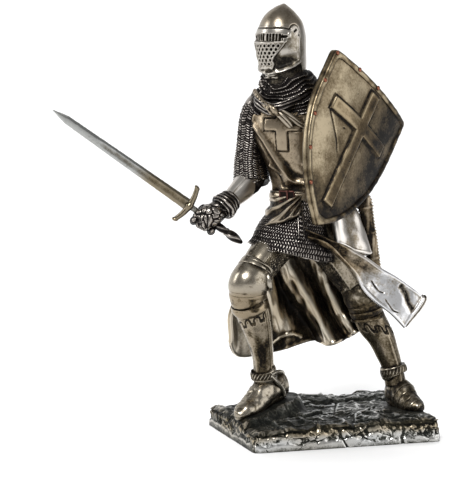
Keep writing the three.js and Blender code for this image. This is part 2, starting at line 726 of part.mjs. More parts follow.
// Four fingers closed round the grip, and the thumb beside the guard.
function fingers() {
  const deep = new THREE.Vector3().crossVectors(SWORD_AXIS, BLADE_ACROSS).normalize();
  const wide = new THREE.Vector3().crossVectors(deep, SWORD_AXIS);
  return [0, 1, 2, 3].map((finger) => {
    const distance = (-6.4 - finger * 3.5) * share;
    const reach = (5 - finger * 0.25) * share;
    const rings = [];
    for (let r = 0; r < 5; r += 1) {
      const turn = toRadians(-150 + r * 52.5);
      const out = wide.clone().multiplyScalar(Math.cos(turn)).addScaledVector(deep, Math.sin(turn));
      const centre = onSword(distance).addScaledVector(out, reach);
      const radius = (r % 4 === 0 ? 1.2 : 2.1) * share;
      const ring = [];
      for (let i = 0; i < 6; i += 1) {
        const angle = (2 * Math.PI * i) / 6;
        const point = centre.clone().addScaledVector(out, Math.cos(angle) * radius);
        ring.push(point.addScaledVector(SWORD_AXIS, Math.sin(angle) * radius * 0.9));
      }
      rings.push(ring);
    }
    return loft(rings);
  });
}

// Lower grip and pommel, cast with the fist.
function hilt() {
  const rings = [
    [-16, 1.9], [-20, 2], [-22.6, 1.8], [-23.4, 2.6], [-26, 3.1], [-30, 2.4], [-33.4, 1.2], [-34, 0.4],
  ].map(([distance, radius]) => swordRing(distance * share, radius * share, radius * share, 8));
  return [loft(rings)];
}

function socket() {
  const radius = GRIP_RADIUS + CLEARANCE;
  const inside = -(TANG_LENGTH + CLEARANCE);
  return loft([inside, 2].map((distance) => swordRing(distance, radius, radius, 12)));
}

function sword() {
  const blade = loft([
    [-0.5, BLADE_WIDTH / 2, BLADE_THICKNESS / 2],
    [BLADE_LENGTH * 0.5, BLADE_WIDTH * 0.43, BLADE_THICKNESS * 0.44],
    [BLADE_LENGTH * 0.9, BLADE_WIDTH * 0.35, BLADE_THICKNESS * 0.36],
    [BLADE_LENGTH, BLADE_WIDTH * 0.03, BLADE_THICKNESS * 0.05],
  ].map(([distance, wide, deep]) => swordRing(distance, wide, deep, 8)));
  const grip = loft([-TANG_LENGTH, 1].map((distance) => swordRing(distance, GRIP_RADIUS, GRIP_RADIUS, 12)));
  const deep = new THREE.Vector3().crossVectors(SWORD_AXIS, BLADE_ACROSS).normalize();
  const wide = new THREE.Vector3().crossVectors(deep, SWORD_AXIS);
  const rings = [];
  for (let r = 0; r <= 6; r += 1) {
    const place = r / 3 - 1;
    const centre = onSword(GUARD_DROOP * place * place).addScaledVector(wide, (place * GUARD_SPAN) / 2);
    const size = (GUARD_THICKNESS / 2) * (1 - 0.25 * Math.abs(place) + (Math.abs(place) > 0.9 ? 0.2 : 0));
    const ring = [];
    for (let i = 0; i < 6; i += 1) {
      const angle = (2 * Math.PI * i) / 6;
      const point = centre.clone().addScaledVector(SWORD_AXIS, Math.cos(angle) * size);
      ring.push(point.addScaledVector(deep, Math.sin(angle) * size));
    }
    rings.push(ring);
  }
  return union([blade, grip, loft(rings)]);
}

function leftArm() {
  const ahead = towards(0.7, -0.7, 0);
  const sleeve = limb([
    [-6, -3, 163, 6, 6],
    [0, -4, 161, 8.4, 8.4],
    [6, -2, 155, 7.4, 7.4],
    [14, 4, 147.6, 6.8, 6.8],
    [21, 9.6, 141, 7, 7],
    [25, 12.8, 137.6, 6, 6],
    [26.6, 14, 136.4, 3, 3],
  ], ahead, { rings: 6, around: 9 });
  const forearm = limb([
    [25, 13.2, 137.4, 5.6, 5.6],
    [20, 7.4, 142.8, 6.4, 6.4],
    [14.6, 1, 148.6, 5.8, 5.8],
    [10.4, -3.6, 153, 4.8, 4.8],
    [7.4, -6.6, 156.4, 5.8, 5.6],
    [4.6, -9.4, 159.4, 5.4, 5.2],
    [3, -11, 161, 2.4, 2.4],
  ], ahead, { rings: 7, around: 9 });
  return [sleeve, forearm];
}

// Shield: a heater, curved across, with a raised rim and a raised cross

const SHIELD_CENTRE = at(19.17, -8, 150.8);
const SHIELD_TURN = toRadians(47.1);
const SHIELD_LEAN = toRadians(-0.9);
const SHIELD_ROLL = toRadians(34.5);

function shieldFrame() {
  const normal = new THREE.Vector3(
    Math.sin(SHIELD_TURN) * Math.cos(SHIELD_LEAN),
    -Math.cos(SHIELD_TURN) * Math.cos(SHIELD_LEAN),
    Math.sin(SHIELD_LEAN),
  );
  const level = new THREE.Vector3(Math.cos(SHIELD_TURN), Math.sin(SHIELD_TURN), 0);
  const right = level.applyAxisAngle(normal, -SHIELD_ROLL);
  const down = new THREE.Vector3().crossVectors(right, normal);
  return { right, down, normal };
}

// Half the width of the outline at a depth below the top edge: straight sides, then two arcs
// that meet in the point.
function shieldHalf(depth) {
  const straight = SHIELD_HEIGHT * SHIELD_STRAIGHT;
  const half = SHIELD_WIDTH / 2;
  const drop = SHIELD_HEIGHT - straight;
  const radius = (drop ** 2 + half ** 2) / (2 * half);
  const below = Math.max(depth - straight, 0);
  return Math.max(Math.sqrt(Math.max(radius ** 2 - below ** 2, 0)) - (radius - half), 0);
}

// A point of the shield: across, below the top edge, and out from the front face.
function onShield(across, depth, out) {
  const { right, down, normal } = shieldFrame();
  const back = SHIELD_BULGE * ((2 * across) / SHIELD_WIDTH) ** 2;
  return SHIELD_CENTRE.clone()
    .addScaledVector(right, across)
    .addScaledVector(down, depth - CROSS_DROP)
    .addScaledVector(normal, out - back);
}

// The board with its rim, grown on all sides by a clearance where it makes room for itself.
function shieldBody(grow) {
  const start = RIM_WIDTH + RIM_SLOPE / 2;
  const depths = [0, RIM_WIDTH - RIM_SLOPE / 2];
  for (let j = 0; j <= SHIELD_ROWS; j += 1) {
    depths.push(start + ((SHIELD_HEIGHT - start) * j) / SHIELD_ROWS);
  }
  const points = [];
  for (const face of [1, -1]) {
    depths.forEach((depth, row) => {
      const half = shieldHalf(Math.min(depth, SHIELD_HEIGHT * 0.996));
      const inner = Math.max(half - RIM_WIDTH, half * 0.08);
      const step = Math.min(RIM_SLOPE / 2, inner / 3);
      const right = [inner / 2, inner - step, inner + step, half + grow];
      const places = [...right.map((across) => -across).reverse(), 0, ...right];
      const below = row === depths.length - 1 ? depth + grow : depth;
      const level = row === 0 ? -grow : below;
      places.forEach((across) => {
        const raised = Math.abs(across) > inner || depth < RIM_WIDTH || half < RIM_WIDTH + 1;
        const out = face > 0 ? (raised ? RIM_HEIGHT : 0) + grow : -SHIELD_THICKNESS - grow;
        points.push(onShield(across, level, out));
      });
    });
  }
  const layer = points.length / 2;
  const count = layer / depths.length;
  const triangles = [];
  for (let j = 0; j + 1 < depths.length; j += 1) {
    for (let i = 0; i + 1 < count; i += 1) {
      const [a, b] = [j * count + i, j * count + i + 1];
      const [c, d] = [b + count, a + count];
      triangles.push([a, b, c], [a, c, d]);
      triangles.push([a + layer, c + layer, b + layer], [a + layer, d + layer, c + layer]);
    }
  }
  const border = [];
  for (let i = 0; i + 1 < count; i += 1) {
    border.push([i, i + 1]);
    border.push([layer - count + i + 1, layer - count + i]);
  }
  for (let j = 0; j + 1 < depths.length; j += 1) {
    border.push([j * count + count - 1, (j + 1) * count + count - 1]);
    border.push([(j + 1) * count, j * count]);
  }
  for (const [a, b] of border) {
    triangles.push([a, b + layer, b], [a, a + layer, b + layer]);
  }
  return solid(points, triangles);
}

function shieldBar(left, right, top, bottom) {
  const middle = (CROSS_HEIGHT - CROSS_ROOT) / 2;
  const surface = (s, t) => onShield(left + (right - left) * s, top + (bottom - top) * t, middle);
  return sheet(surface, CROSS_HEIGHT + CROSS_ROOT, right - left > bottom - top ? 6 : 2, 1);
}

function shield() {
  const half = CROSS_WIDTH / 2;
  return union([
    shieldBody(0),
    shieldBar(-CROSS_ARM, CROSS_ARM, CROSS_DROP - half, CROSS_DROP + half),
    shieldBar(-half, half, CROSS_DROP - CROSS_HEAD, CROSS_DROP + CROSS_FOOT),
  ]);
}

// Fits: the knight gives way to the stone under its feet, to the shield and to the sword's grip.

// Everything below the plane a clearance above a foot's flat stone.
function underFoot({ toe, heel }) {
  const run = new THREE.Vector3().subVectors(toe, heel).normalize();
  const level = new THREE.Vector3().crossVectors(UP, run);
  const normal = new THREE.Vector3().crossVectors(run, level).normalize();
  const depth = FIGURE_HEIGHT / 5;
  const middle = toe.clone().addScaledVector(normal, CLEARANCE - depth / 2);
  return box(FIGURE_HEIGHT, FIGURE_HEIGHT, depth, frameAt(middle, run, normal));
}

function knight() {
  const head = union([...helmet(), ...neck()]);
  const clothes = union([...torso(), mailSkirt(), ...surcoat(), ...flyingFlap(), scabbard()]);
  const legs = [rightLeg(), leftLeg()].map((leg, i) => union(leg).subtract(underFoot(feet[i])));
  const arms = union([...rightArm(), ...leftArm()]);
  const whole = filled(union([head, clothes, ...legs, arms]));
  return whole.subtract(shieldBody(CLEARANCE)).subtract(socket());
}

// Nodes

function geometryOf(body) {
  const mesh = body.getMesh();
  const geometry = new THREE.BufferGeometry();
  const positions = new Float32Array(mesh.numVert * 3);
  for (let i = 0; i < mesh.numVert; i += 1) {
    positions.set(mesh.vertProperties.subarray(i * mesh.numProp, i * mesh.numProp + 3), i * 3);
  }
  geometry.setAttribute("position", new THREE.BufferAttribute(positions, 3));
  geometry.setIndex(new THREE.BufferAttribute(new Uint32Array(mesh.triVerts), 1));
  geometry.computeVertexNormals();
  return geometry;
}

function node(name, body, colour, roughness, metalness) {
  const material = new THREE.MeshStandardMaterial({ color: colour, roughness, metalness });
  const mesh = new THREE.Mesh(geometryOf(body), material);
  mesh.name = name;
  return mesh;
}

const statue = new THREE.Group();
statue.add(node("base", plinth(), 0x5d615a, 0.5, 0.7));

const figure = new THREE.Group();
figure.position.z = PLINTH_HEIGHT;
figure.rotation.z = -FIGURE_TURN;
figure.add(node("knight", knight(), 0x9a958a, 0.3, 0.9));
figure.add(node("shield", shield(), 0x8b8468, 0.32, 0.9));
figure.add(node("sword", sword(), 0x8d8f90, 0.25, 1));
statue.add(figure);

export default statue;
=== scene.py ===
"""Fine surfaces, metals, light and camera for the cast knight statue."""

import itertools
import math

import bpy
import numpy as np
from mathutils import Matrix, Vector


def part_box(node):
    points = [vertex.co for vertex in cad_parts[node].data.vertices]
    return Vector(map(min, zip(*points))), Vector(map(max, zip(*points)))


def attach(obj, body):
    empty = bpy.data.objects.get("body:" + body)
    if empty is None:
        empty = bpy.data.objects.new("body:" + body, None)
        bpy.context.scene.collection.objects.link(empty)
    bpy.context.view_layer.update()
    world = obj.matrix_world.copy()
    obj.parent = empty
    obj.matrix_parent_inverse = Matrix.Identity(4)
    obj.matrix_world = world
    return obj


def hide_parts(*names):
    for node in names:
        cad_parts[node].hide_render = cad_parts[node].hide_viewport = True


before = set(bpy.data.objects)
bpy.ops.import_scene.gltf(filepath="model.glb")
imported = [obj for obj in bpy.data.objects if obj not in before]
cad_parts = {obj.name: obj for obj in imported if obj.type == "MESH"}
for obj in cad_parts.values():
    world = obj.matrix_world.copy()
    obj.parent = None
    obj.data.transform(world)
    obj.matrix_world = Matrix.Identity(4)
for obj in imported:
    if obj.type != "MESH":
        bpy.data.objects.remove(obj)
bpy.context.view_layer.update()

MM = 0.001

# Sizes of the real object, in millimetres
PLINTH_LENGTH = 104
PLINTH_DEPTH = 82.4
PLINTH_HEIGHT = 13.4
SLAB_SIZE = 19
SLAB_STEP = 2.2
EDGE_CHIP = 1.7
EDGE_BAND = 0.085
EDGE_INSET = 1.2
PLAIN_BAND = 4.2
ROCK_CELL = 9
SOLE_MARGIN = 1.5
FIGURE_TURN = math.radians(17.49)
COAT_THICKNESS = 2.6
FLAP_THICKNESS = 2.4
SHIELD_WIDTH = 71.9
SHIELD_HEIGHT = 85.5
SHIELD_STRAIGHT = 0.25
SHIELD_THICKNESS = 3
SHIELD_BULGE = 5
CORNER_SOFTNESS = 14
RIM_WIDTH = 3.4
RIM_HEIGHT = 0.9
RIVET_RADIUS = 1.25
CROSS_DROP = 25.4
CROSS_ARM = 24.8
CROSS_HEAD = 20.5
CROSS_FOOT = 47.5
CROSS_WIDTH = 7.8
CROSS_HEIGHT = 1.3
BLADE_LENGTH = 87
BLADE_WIDTH = 6.3
BLADE_THICKNESS = 2
GUARD_SPAN = 22.4
GUARD_DROOP = 2.6
GUARD_THICKNESS = 3
GRIP_RADIUS = 1.6
TANG_LENGTH = 15
FIRST_FINGER = 6.4  # from the guard down the grip
FINGER_STEP = 3.5
LINK = 1.22  # one ring of the mail skirt and collar, along its row
COURSE = 1.7  # one row of those rings
SLEEVE_LINK = 1.3  # one ring of the sleeves, whose rows hang down the arm
SLEEVE_COURSE = 2.5

# The pose: u to the viewer's right, w away from the viewer, z above the ground, as shares of the
# figure's height, written in millimetres of a figure this tall
POSE_HEIGHT = 215.2
SHARE = (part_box("knight")[1].z / MM - PLINTH_HEIGHT) / POSE_HEIGHT


def unit(vector):
    vector = np.asarray(vector, float)
    return vector / np.linalg.norm(vector, axis=-1, keepdims=True)


UP = np.array([0.0, 0.0, 1.0])
HELMET_AHEAD = unit([-0.5, -0.866, 0])
CHEST_AHEAD = unit([-0.29, -0.956, 0])
CHEST_ACROSS = np.cross(UP, CHEST_AHEAD)
RIGHT_FOOT_AHEAD = unit([-0.655, -0.755, 0])
LEFT_FOOT_AHEAD = unit([0.52, -0.85, 0])
STRAP_AHEAD = [0.8, -0.6, 0]
TOWARDS_VIEWER = np.array([0.0, -1.0, 0.0])


# Numbers and fields


def ease(low, high, value):
    """0 below low, 1 above high and a smooth step between; low may be the greater one."""
    share = np.clip((value - low) / (high - low), 0, 1)
    return share * share * (3 - 2 * share)


def hill(value, centre, width):
    return np.exp(-(((value - centre) / width) ** 2))


def waves(place, pitch=1):
    """A cosine from -1 to 1 with one crest for each pitch."""
    return np.cos(place * 2 * math.pi / pitch)


def crests(place):
    """Straight rises and falls, 1 half way between whole numbers and 0 at them."""
    return 1 - np.abs(2 * (place % 1) - 1)


def aside(angle, centre):
    """Degrees from a centre, -180 to 180."""
    return (angle - centre + 180) % 360 - 180


def turns(*spans):
    """Angles round a limb, from spans of first angle, last angle and count."""
    return np.concatenate([np.linspace(*span, endpoint=False) for span in spans])


def circle(count):
    return np.linspace(0, 2 * math.pi, count, endpoint=False)


def scatter(*cell):
    """A fixed share from 0 to 1 for each cell of whole numbers."""
    steps = (12.9898, 78.233, 37.719)
    value = np.sin(sum(c * k for c, k in zip(cell, steps))) * 43758.5453
    return value - np.floor(value)


def noise(points, size, seed=0):
    """Smooth noise from -1 to 1, with cells of one size in millimetres."""
    place = points / size + seed * 17.3
    cell = np.floor(place)
    inside = place - cell
    inside = inside * inside * (3 - 2 * inside)
    total = 0
    for corner in itertools.product((0, 1), repeat=3):
        weight = math.prod(inside[..., k] if step else 1 - inside[..., k] for k, step in enumerate(corner))
        total = total + weight * scatter(*(cell[..., k] + step for k, step in enumerate(corner)))
    return 2 * total - 1


def rough(points, size, seed=0, octaves=4):
    """Noise of several sizes, each half the last."""
    return sum(noise(points, size / 2**k, seed + k) / 2**k for k in range(octaves))


def along(rows, t):
    """Rows of numbers read as one smooth curve, from the first row at 0 to the last at 1."""
    rows = np.asarray(rows, float)
    place = np.clip(t, 0, 1) * (len(rows) - 1)
    i = np.minimum(np.floor(place).astype(int), len(rows) - 2)
    f = (place - i)[..., None]
    p, q = rows[i], rows[i + 1]
    before, after = rows[np.maximum(i - 1, 0)], rows[np.minimum(i + 2, len(rows) - 1)]
    inward, outward = (q - before) / 2, (after - p) / 2
    square = 3 * (q - p) - 2 * inward - outward
    cube = 2 * (p - q) + inward + outward
    return p + inward * f + square * f**2 + cube * f**3


def near(points, path):
    """Distance from each point to a smooth curve through a path, and the share along it."""
    path = along(path, np.linspace(0, 1, 4 * len(path)))
    best = np.full(points.shape[:-1], 1e9)
    share = np.zeros(best.shape)
    for n, (a, b) in enumerate(zip(path[:-1], path[1:])):
        run = b - a
        t = np.clip(((points - a) @ run) / (run @ run), 0, 1)
        distance = np.linalg.norm(points - a - t[..., None] * run, axis=-1)
        closer = distance < best
        best = np.where(closer, distance, best)
        share = np.where(closer, (n + t) / (len(path) - 1), share)
    return best, share


def crease(points, path, width, height):
    """A ridge, or a groove where the height is negative, that runs out at both of its ends."""
    distance, share = near(points, path)
    return height * hill(distance, 0, width) * ease(0, 0.15, share) * ease(1, 0.85, share)


def mail(along_row, rows, uneven=0.5):
    """Height of linked rings, 0 to 1; the rings are counted along a row, and the rows across."""
    row = np.floor(rows)
    y = rows - row - 0.5
    lean = np.where(row % 2 == 0, 0.55, -0.55)
    x = along_row + 0.5 * (row % 2) + lean * y + 0.9 * y * y
    ring = np.round(x)
    away = 2 * np.abs(x - ring + 0.3 * uneven * (scatter(ring, row, 3) - 0.5))
    bar = np.sqrt(np.clip(1 - (away / 0.66) ** 2, 0, 1))
    return bar * np.sqrt(np.clip(1 - (2 * y) ** 4, 0, 1)) * (1 - uneven * scatter(ring, row, 6) ** 2)


def cells(x, y, size):
    """The nearest cell of an irregular paving, the offset from its middle and the gap to the next."""
    column, row = np.floor(x / size), np.floor(y / size)
    best = np.full(x.shape, 1e9)
    second = best
    found = [np.zeros(x.shape)] * 4
    for di in (-1, 0, 1):
        for dj in (-1, 0, 1):
            i, j = column + di, row + dj
            dx, dy = x - (i + scatter(i, j, 0)) * size, y - (j + scatter(i, j, 1)) * size
            distance = np.hypot(dx, dy)
            closer = distance < best
            second = np.where(closer, best, np.minimum(second, distance))
            best = np.where(closer, distance, best)
            found = [np.where(closer, new, old) for new, old in zip((i, j, dx, dy), found)]
    return *found, second - best


def ridged(points, size, seed):
    """Sharp crests over smooth hollows, 0 to 1, in three sizes."""
    return sum((1 - np.abs(noise(points, size / 2**k, seed + k))) ** 2 / 2**k for k in range(3)) / 1.75


# Shells: closed grids of points in the pose frame


class Spot:
    """Where a grid's points lie: t, angle, millimetres run and around, a limb's girth, a sheet's edge."""

    def __init__(self, points, **places):
        self.points = points
        for name, values in places.items():
            setattr(self, name, np.broadcast_to(values, points.shape[:2]))

    def links(self, upright=False, uneven=0.5, warp=0.25):
        """Height of mail over the grid, in a whole number of rings or rows round it."""
        girth = float(np.median(self.girth))
        bend = warp * noise(self.points, 6, 21)
        if upright:
            count = 2 * max(round(girth / SLEEVE_COURSE / 2), 1)
            return mail(self.run / SLEEVE_LINK + bend, self.around / self.girth * count + bend, uneven)
        count = max(round(girth / LINK), 3)
        return mail(self.around / self.girth * count + bend, self.run / COURSE + bend, uneven)


def grid_normals(grid, closed, outward):
    """Normals of a grid, on the side to which the outward vectors point."""
    down = np.gradient(grid, axis=0)
    across = np.roll(grid, -1, 1) - np.roll(grid, 1, 1) if closed else np.gradient(grid, axis=1)
    normal = np.cross(across, down)
    normal = normal / np.maximum(np.linalg.norm(normal, axis=-1, keepdims=True), 1e-12)
    return normal * np.sign((normal * outward).sum(-1, keepdims=True))


def shifted(grid, steps, axis, closed):
    if closed:
        return np.roll(grid, steps, axis)
    index = np.clip(np.arange(grid.shape[axis]) - steps, 0, grid.shape[axis] - 1)
    return np.take(grid, index, axis)


def worn(grid, normal, closed):
    """From 0 in hollows to 1 on edges, by how far each point stands out from those round it."""
    down_step, across_step = (np.median(np.linalg.norm(np.diff(grid, axis=k), axis=-1)) for k in (0, 1))
    total = 0
    for reach, scale, weight in ((0.5, 0.06, 0.6), (2.0, 0.55, 0.5)):
        rings = max(round(reach / down_step), 1)
        columns = max(round(reach / across_step), 1)
        beside = [shifted(grid, step, 0, False) for step in (rings, -rings)]
        beside += [shifted(grid, step, 1, closed) for step in (columns, -columns)]
        stands = ((grid - sum(beside) / 4) * normal).sum(-1)
        total = total + weight * np.tanh(stands / scale)
    return 0.5 + 0.5 * total


def relieved(grid, normal, relief, spot, closed):
    """The grid with its relief, its wear and painted shade, and its tint."""
    depth, dark, tint_and_shade = relief(spot) if relief else (0, 0, 0)
    flat = np.zeros(grid.shape[:2])
    grid = grid + normal * (flat + depth)[..., None]
    return grid, worn(grid, grid_normals(grid, closed, normal), closed) - dark, flat + tint_and_shade


def shell(points, quads, triangles, wear_and_shade, tint_and_shade):
    """A closed shell with its faces turned outward."""
    triangles = np.asarray(triangles, int).reshape(-1, 3)
    halves = np.concatenate([quads[:, [0, 1, 2]], quads[:, [0, 2, 3]], triangles])
    a, b, c = (points[halves[:, k]] for k in range(3))
    if (a * np.cross(b, c)).sum() < 0:
        quads, triangles = quads[:, ::-1], triangles[:, ::-1]
    return {"points": points, "quads": quads, "triangles": triangles, "wear_and_shade": wear_and_shade, "tint_and_shade": tint_and_shade}


def grid_quads(rows, columns, closed):
    r = np.arange(rows - 1)[:, None] * columns
    c = np.arange(columns if closed else columns - 1)[None, :]
    after = (c + 1) % columns
    return np.stack([r + c, r + after, r + after + columns, r + c + columns], -1).reshape(-1, 4)


def capped(grid, wear_and_shade, tint_and_shade=0):
    """A closed shell from a grid that is closed round, with a fan at each end."""
    rows, columns = grid.shape[:2]
    wear_and_shade, tint_and_shade = (np.broadcast_to(field, (rows, columns)) for field in (wear_and_shade, tint_and_shade))
    ring = np.arange(columns)
    after = (ring + 1) % columns
    last = (rows - 1) * columns
    first_hub, last_hub = rows * columns, rows * columns + 1
    fan = [np.stack([np.full(columns, first_hub), after, ring], -1)]
    fan.append(np.stack([np.full(columns, last_hub), ring + last, after + last], -1))
    return shell(
        np.concatenate([grid.reshape(-1, 3), [grid[0].mean(0), grid[-1].mean(0)]]),
        grid_quads(rows, columns, True),
        np.concatenate(fan),
        np.concatenate([wear_and_shade.ravel(), [0.5, 0.5]]),
        np.concatenate([tint_and_shade.ravel(), [tint_and_shade[0].mean(), tint_and_shade[-1].mean()]]),
    )


def slab(front, rear, wears_and_shades, tints_and_shades):
    """A closed shell between a front grid and a rear grid of the same size."""
    height, width = front.shape[:2]
    count = height * width
    index = np.arange(count).reshape(height, width)
    face = grid_quads(height, width, False)
    quads = [face, face[:, ::-1] + count]
    for line in (index[0], index[:, -1], index[-1][::-1], index[::-1, 0]):
        quads.append(np.stack([line[1:], line[:-1], line[:-1] + count, line[1:] + count], -1))
    points = np.concatenate([front.reshape(-1, 3), rear.reshape(-1, 3)])
    wear_and_shade, tint_and_shade = (np.concatenate([field.ravel() for field in pair]) for pair in (wears_and_shades, tints_and_shades))
    return shell(points, np.concatenate(quads), [], wear_and_shade, tint_and_shade)


def looped(grid, wear_and_shade, tint_and_shade):
    """A closed shell from a grid that is closed both ways."""
    rows, columns = grid.shape[:2]
    here = np.arange(rows * columns).reshape(rows, columns)
    right, down = np.roll(here, -1, 1), np.roll(here, -1, 0)
    quads = np.stack([here, right, np.roll(right, -1, 0), down], -1).reshape(-1, 4)
    return shell(grid.reshape(-1, 3), quads, [], wear_and_shade.ravel(), np.full(wear_and_shade.size, tint_and_shade))


def even_shares(rows, count):
    """Shares along a curve of rows that lie evenly on its surface."""
    fine = np.linspace(0, 1, 40 * len(rows))
    steps = np.linalg.norm(np.diff(along(rows, fine), axis=0), axis=1)
    run = np.concatenate([[0], np.cumsum(steps)])
    return np.interp(np.linspace(0, run[-1], count), run, fine), np.linspace(0, run[-1], count)


def limb(rows, ahead, rings, around, relief=None, form=None):
    """A limb or garment round a path of rows u, w, z, half width, half depth. Angle 90 is ahead.

    Its form adds a length to each spoke by t and angle, and its relief is carved into the skin.
    """
    t, run = even_shares(rows, rings)
    row = along(rows, t)
    tangent = unit(along(rows, t + 0.01)[:, :3] - along(rows, t - 0.01)[:, :3])
    side = unit(np.cross(tangent, unit(ahead)))
    front = np.cross(side, tangent)
    angles = turns((0, 360, around)) if isinstance(around, int) else around
    turn = np.radians(angles)[None, :, None]
    spoke = side[:, None] * np.cos(turn) * row[:, None, 3:4]
    spoke = spoke + front[:, None] * np.sin(turn) * row[:, None, 4:5]
    if form:
        length = np.linalg.norm(spoke, axis=-1, keepdims=True)
        spoke = spoke / length * (length + form(t[:, None], angles[None, :])[..., None])
    grid = row[:, None, :3] + spoke
    steps = np.linalg.norm(np.roll(grid, -1, 1) - grid, axis=-1)
    place = {"t": t[:, None], "angle": angles[None, :], "run": run[:, None]}
    spot = Spot(grid, around=np.cumsum(steps, 1) - steps, girth=steps.sum(1, keepdims=True), **place)
    grid, wear_and_shade, tint_and_shade = relieved(grid, grid_normals(grid, True, spoke), relief, spot, True)
    return capped(grid * SHARE, wear_and_shade, tint_and_shade)


def spread(count, fine=3):
    """Shares 0 to 1 with a few more close to both ends, for a rounded edge."""
    close = np.linspace(0, 1, count)[1] * np.linspace(0, 1, fine + 1)[1:-1] ** 2
    return np.concatenate([[0], close, np.linspace(0, 1, count)[1:-1], 1 - close[::-1], [1]])


def sheet(surface, thickness, columns, rows, relief, back=None):
    """A sheet with rounded edges on either side of a surface of two shares, angle and t, 0 to 1."""
    s, t = np.meshgrid(spread(columns), spread(rows))
    middle = surface(s, t)
    step = 0.004
    across = surface(np.minimum(s + step, 1), t) - surface(np.maximum(s - step, 0), t)
    down = surface(s, np.minimum(t + step, 1)) - surface(s, np.maximum(t - step, 0))
    normal = unit(np.cross(across, down))
    wide = np.linalg.norm(np.diff(middle, axis=1), axis=-1)
    left = np.concatenate([np.zeros((len(wide), 1)), np.cumsum(wide, 1)], 1)
    tall = np.linalg.norm(np.diff(middle, axis=0), axis=-1)
    top = np.concatenate([np.zeros((1, tall.shape[1])), np.cumsum(tall, 0)], 0)
    edge = np.minimum.reduce([left, left[:, -1:] - left, top, top[-1:] - top])
    round_off = np.sqrt(1 - (1 - np.clip(edge / (thickness / 2), 0, 1)) ** 2)
    half = thickness / 2 * (0.15 + 0.85 * round_off)[..., None]
    place = {"t": t, "angle": s, "run": top, "around": left, "edge": edge}

    def face(side, carving):
        points = middle + normal * half * side
        return relieved(points, normal * side, carving, Spot(points, **place), False)

    (front, rear), wears_and_shades, tints_and_shades = zip(face(1, relief), face(-1, back or relief))
    return slab(front * SHARE, rear * SHARE, wears_and_shades, tints_and_shades)


def ruled(top, bottom, fold=lambda s, t: (0, 0, 0), lean=lambda s, t: s):
    """A surface of lines between a top edge and a lower edge, both given as rows of u, w, z."""

    def surface(s, t):
        a, b = along(top, lean(s, t)), along(bottom, lean(s, t))
        points = a + (b - a) * t[..., None]
        return points + np.stack(np.broadcast_arrays(*fold(s, t)), -1)

    return surface


def oval(first, second, count, share=1):
    """Spokes of an ellipse in the plane of two directions."""
    turn = circle(count)[:, None]
    return first * np.cos(turn) * share + second * np.sin(turn)


def ball(centre, radius, axis, flat):
    """A rivet, flattened along its axis."""
    axis = unit(axis)
    side = unit(np.cross(axis, UP + 0.01))
    up = np.linspace(-0.5, 0.5, 7)[1:-1] * math.pi
    ring = oval(side, np.cross(side, axis), 10)
    spoke = np.cos(up)[:, None, None] * ring + np.sin(up)[:, None, None] * axis * flat
    return capped(centre + radius * spoke, 0.35 + 0.5 * np.clip(np.sin(up), 0, 1)[:, None])


# Pieces


def placed(points):
    """From millimetres of the figure's own frame to metres of the part's frame."""
    cos, sin = math.cos(FIGURE_TURN), math.sin(FIGURE_TURN)
    x = points[:, 0] * cos + points[:, 1] * sin
    y = points[:, 1] * cos - points[:, 0] * sin
    return np.stack([x, y, points[:, 2] + PLINTH_HEIGHT], -1) * MM


def smooth_mesh(name, points, faces, material):
    mesh = bpy.data.meshes.new(name)
    mesh.from_pydata(points, [], faces)
    mesh.polygons.foreach_set("use_smooth", np.ones(len(faces), bool))
    mesh.materials.append(material)
    return mesh


def linked(name, data):
    made = bpy.data.objects.new(name, data)
    bpy.context.scene.collection.objects.link(made)
    return made


def piece(name, node, shells, metal_name, place=placed):
    """One object of several closed shells, standing for a CAD node."""
    faces, start = [], 0
    for part in shells:
        faces += (part["quads"] + start).tolist() + (part["triangles"] + start).tolist()
        start += len(part["points"])
    points, wear_and_shade, tint_and_shade = (
        np.concatenate([part[key] for part in shells]) for key in ("points", "wear_and_shade", "tint_and_shade")
    )
    mesh = smooth_mesh(name, place(points).tolist(), faces, METALS[metal_name])
    # the first attribute holds wear, antique wash and painted shade from the reliefs
    for label, values in (("wear_and_shade", wear_and_shade), ("tint_and_shade", tint_and_shade)):
        field = mesh.attributes.new(label, "FLOAT", "POINT")
        field.data.foreach_set("value", values.astype(np.float32))
    mesh.update()
    made = linked(name, mesh)
    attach(made, "root")
    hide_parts(node)


# Metals


def new_material(name):
    material = bpy.data.materials.new(name)
    material.use_nodes = True
    return material, material.node_tree.nodes["Principled BSDF"]


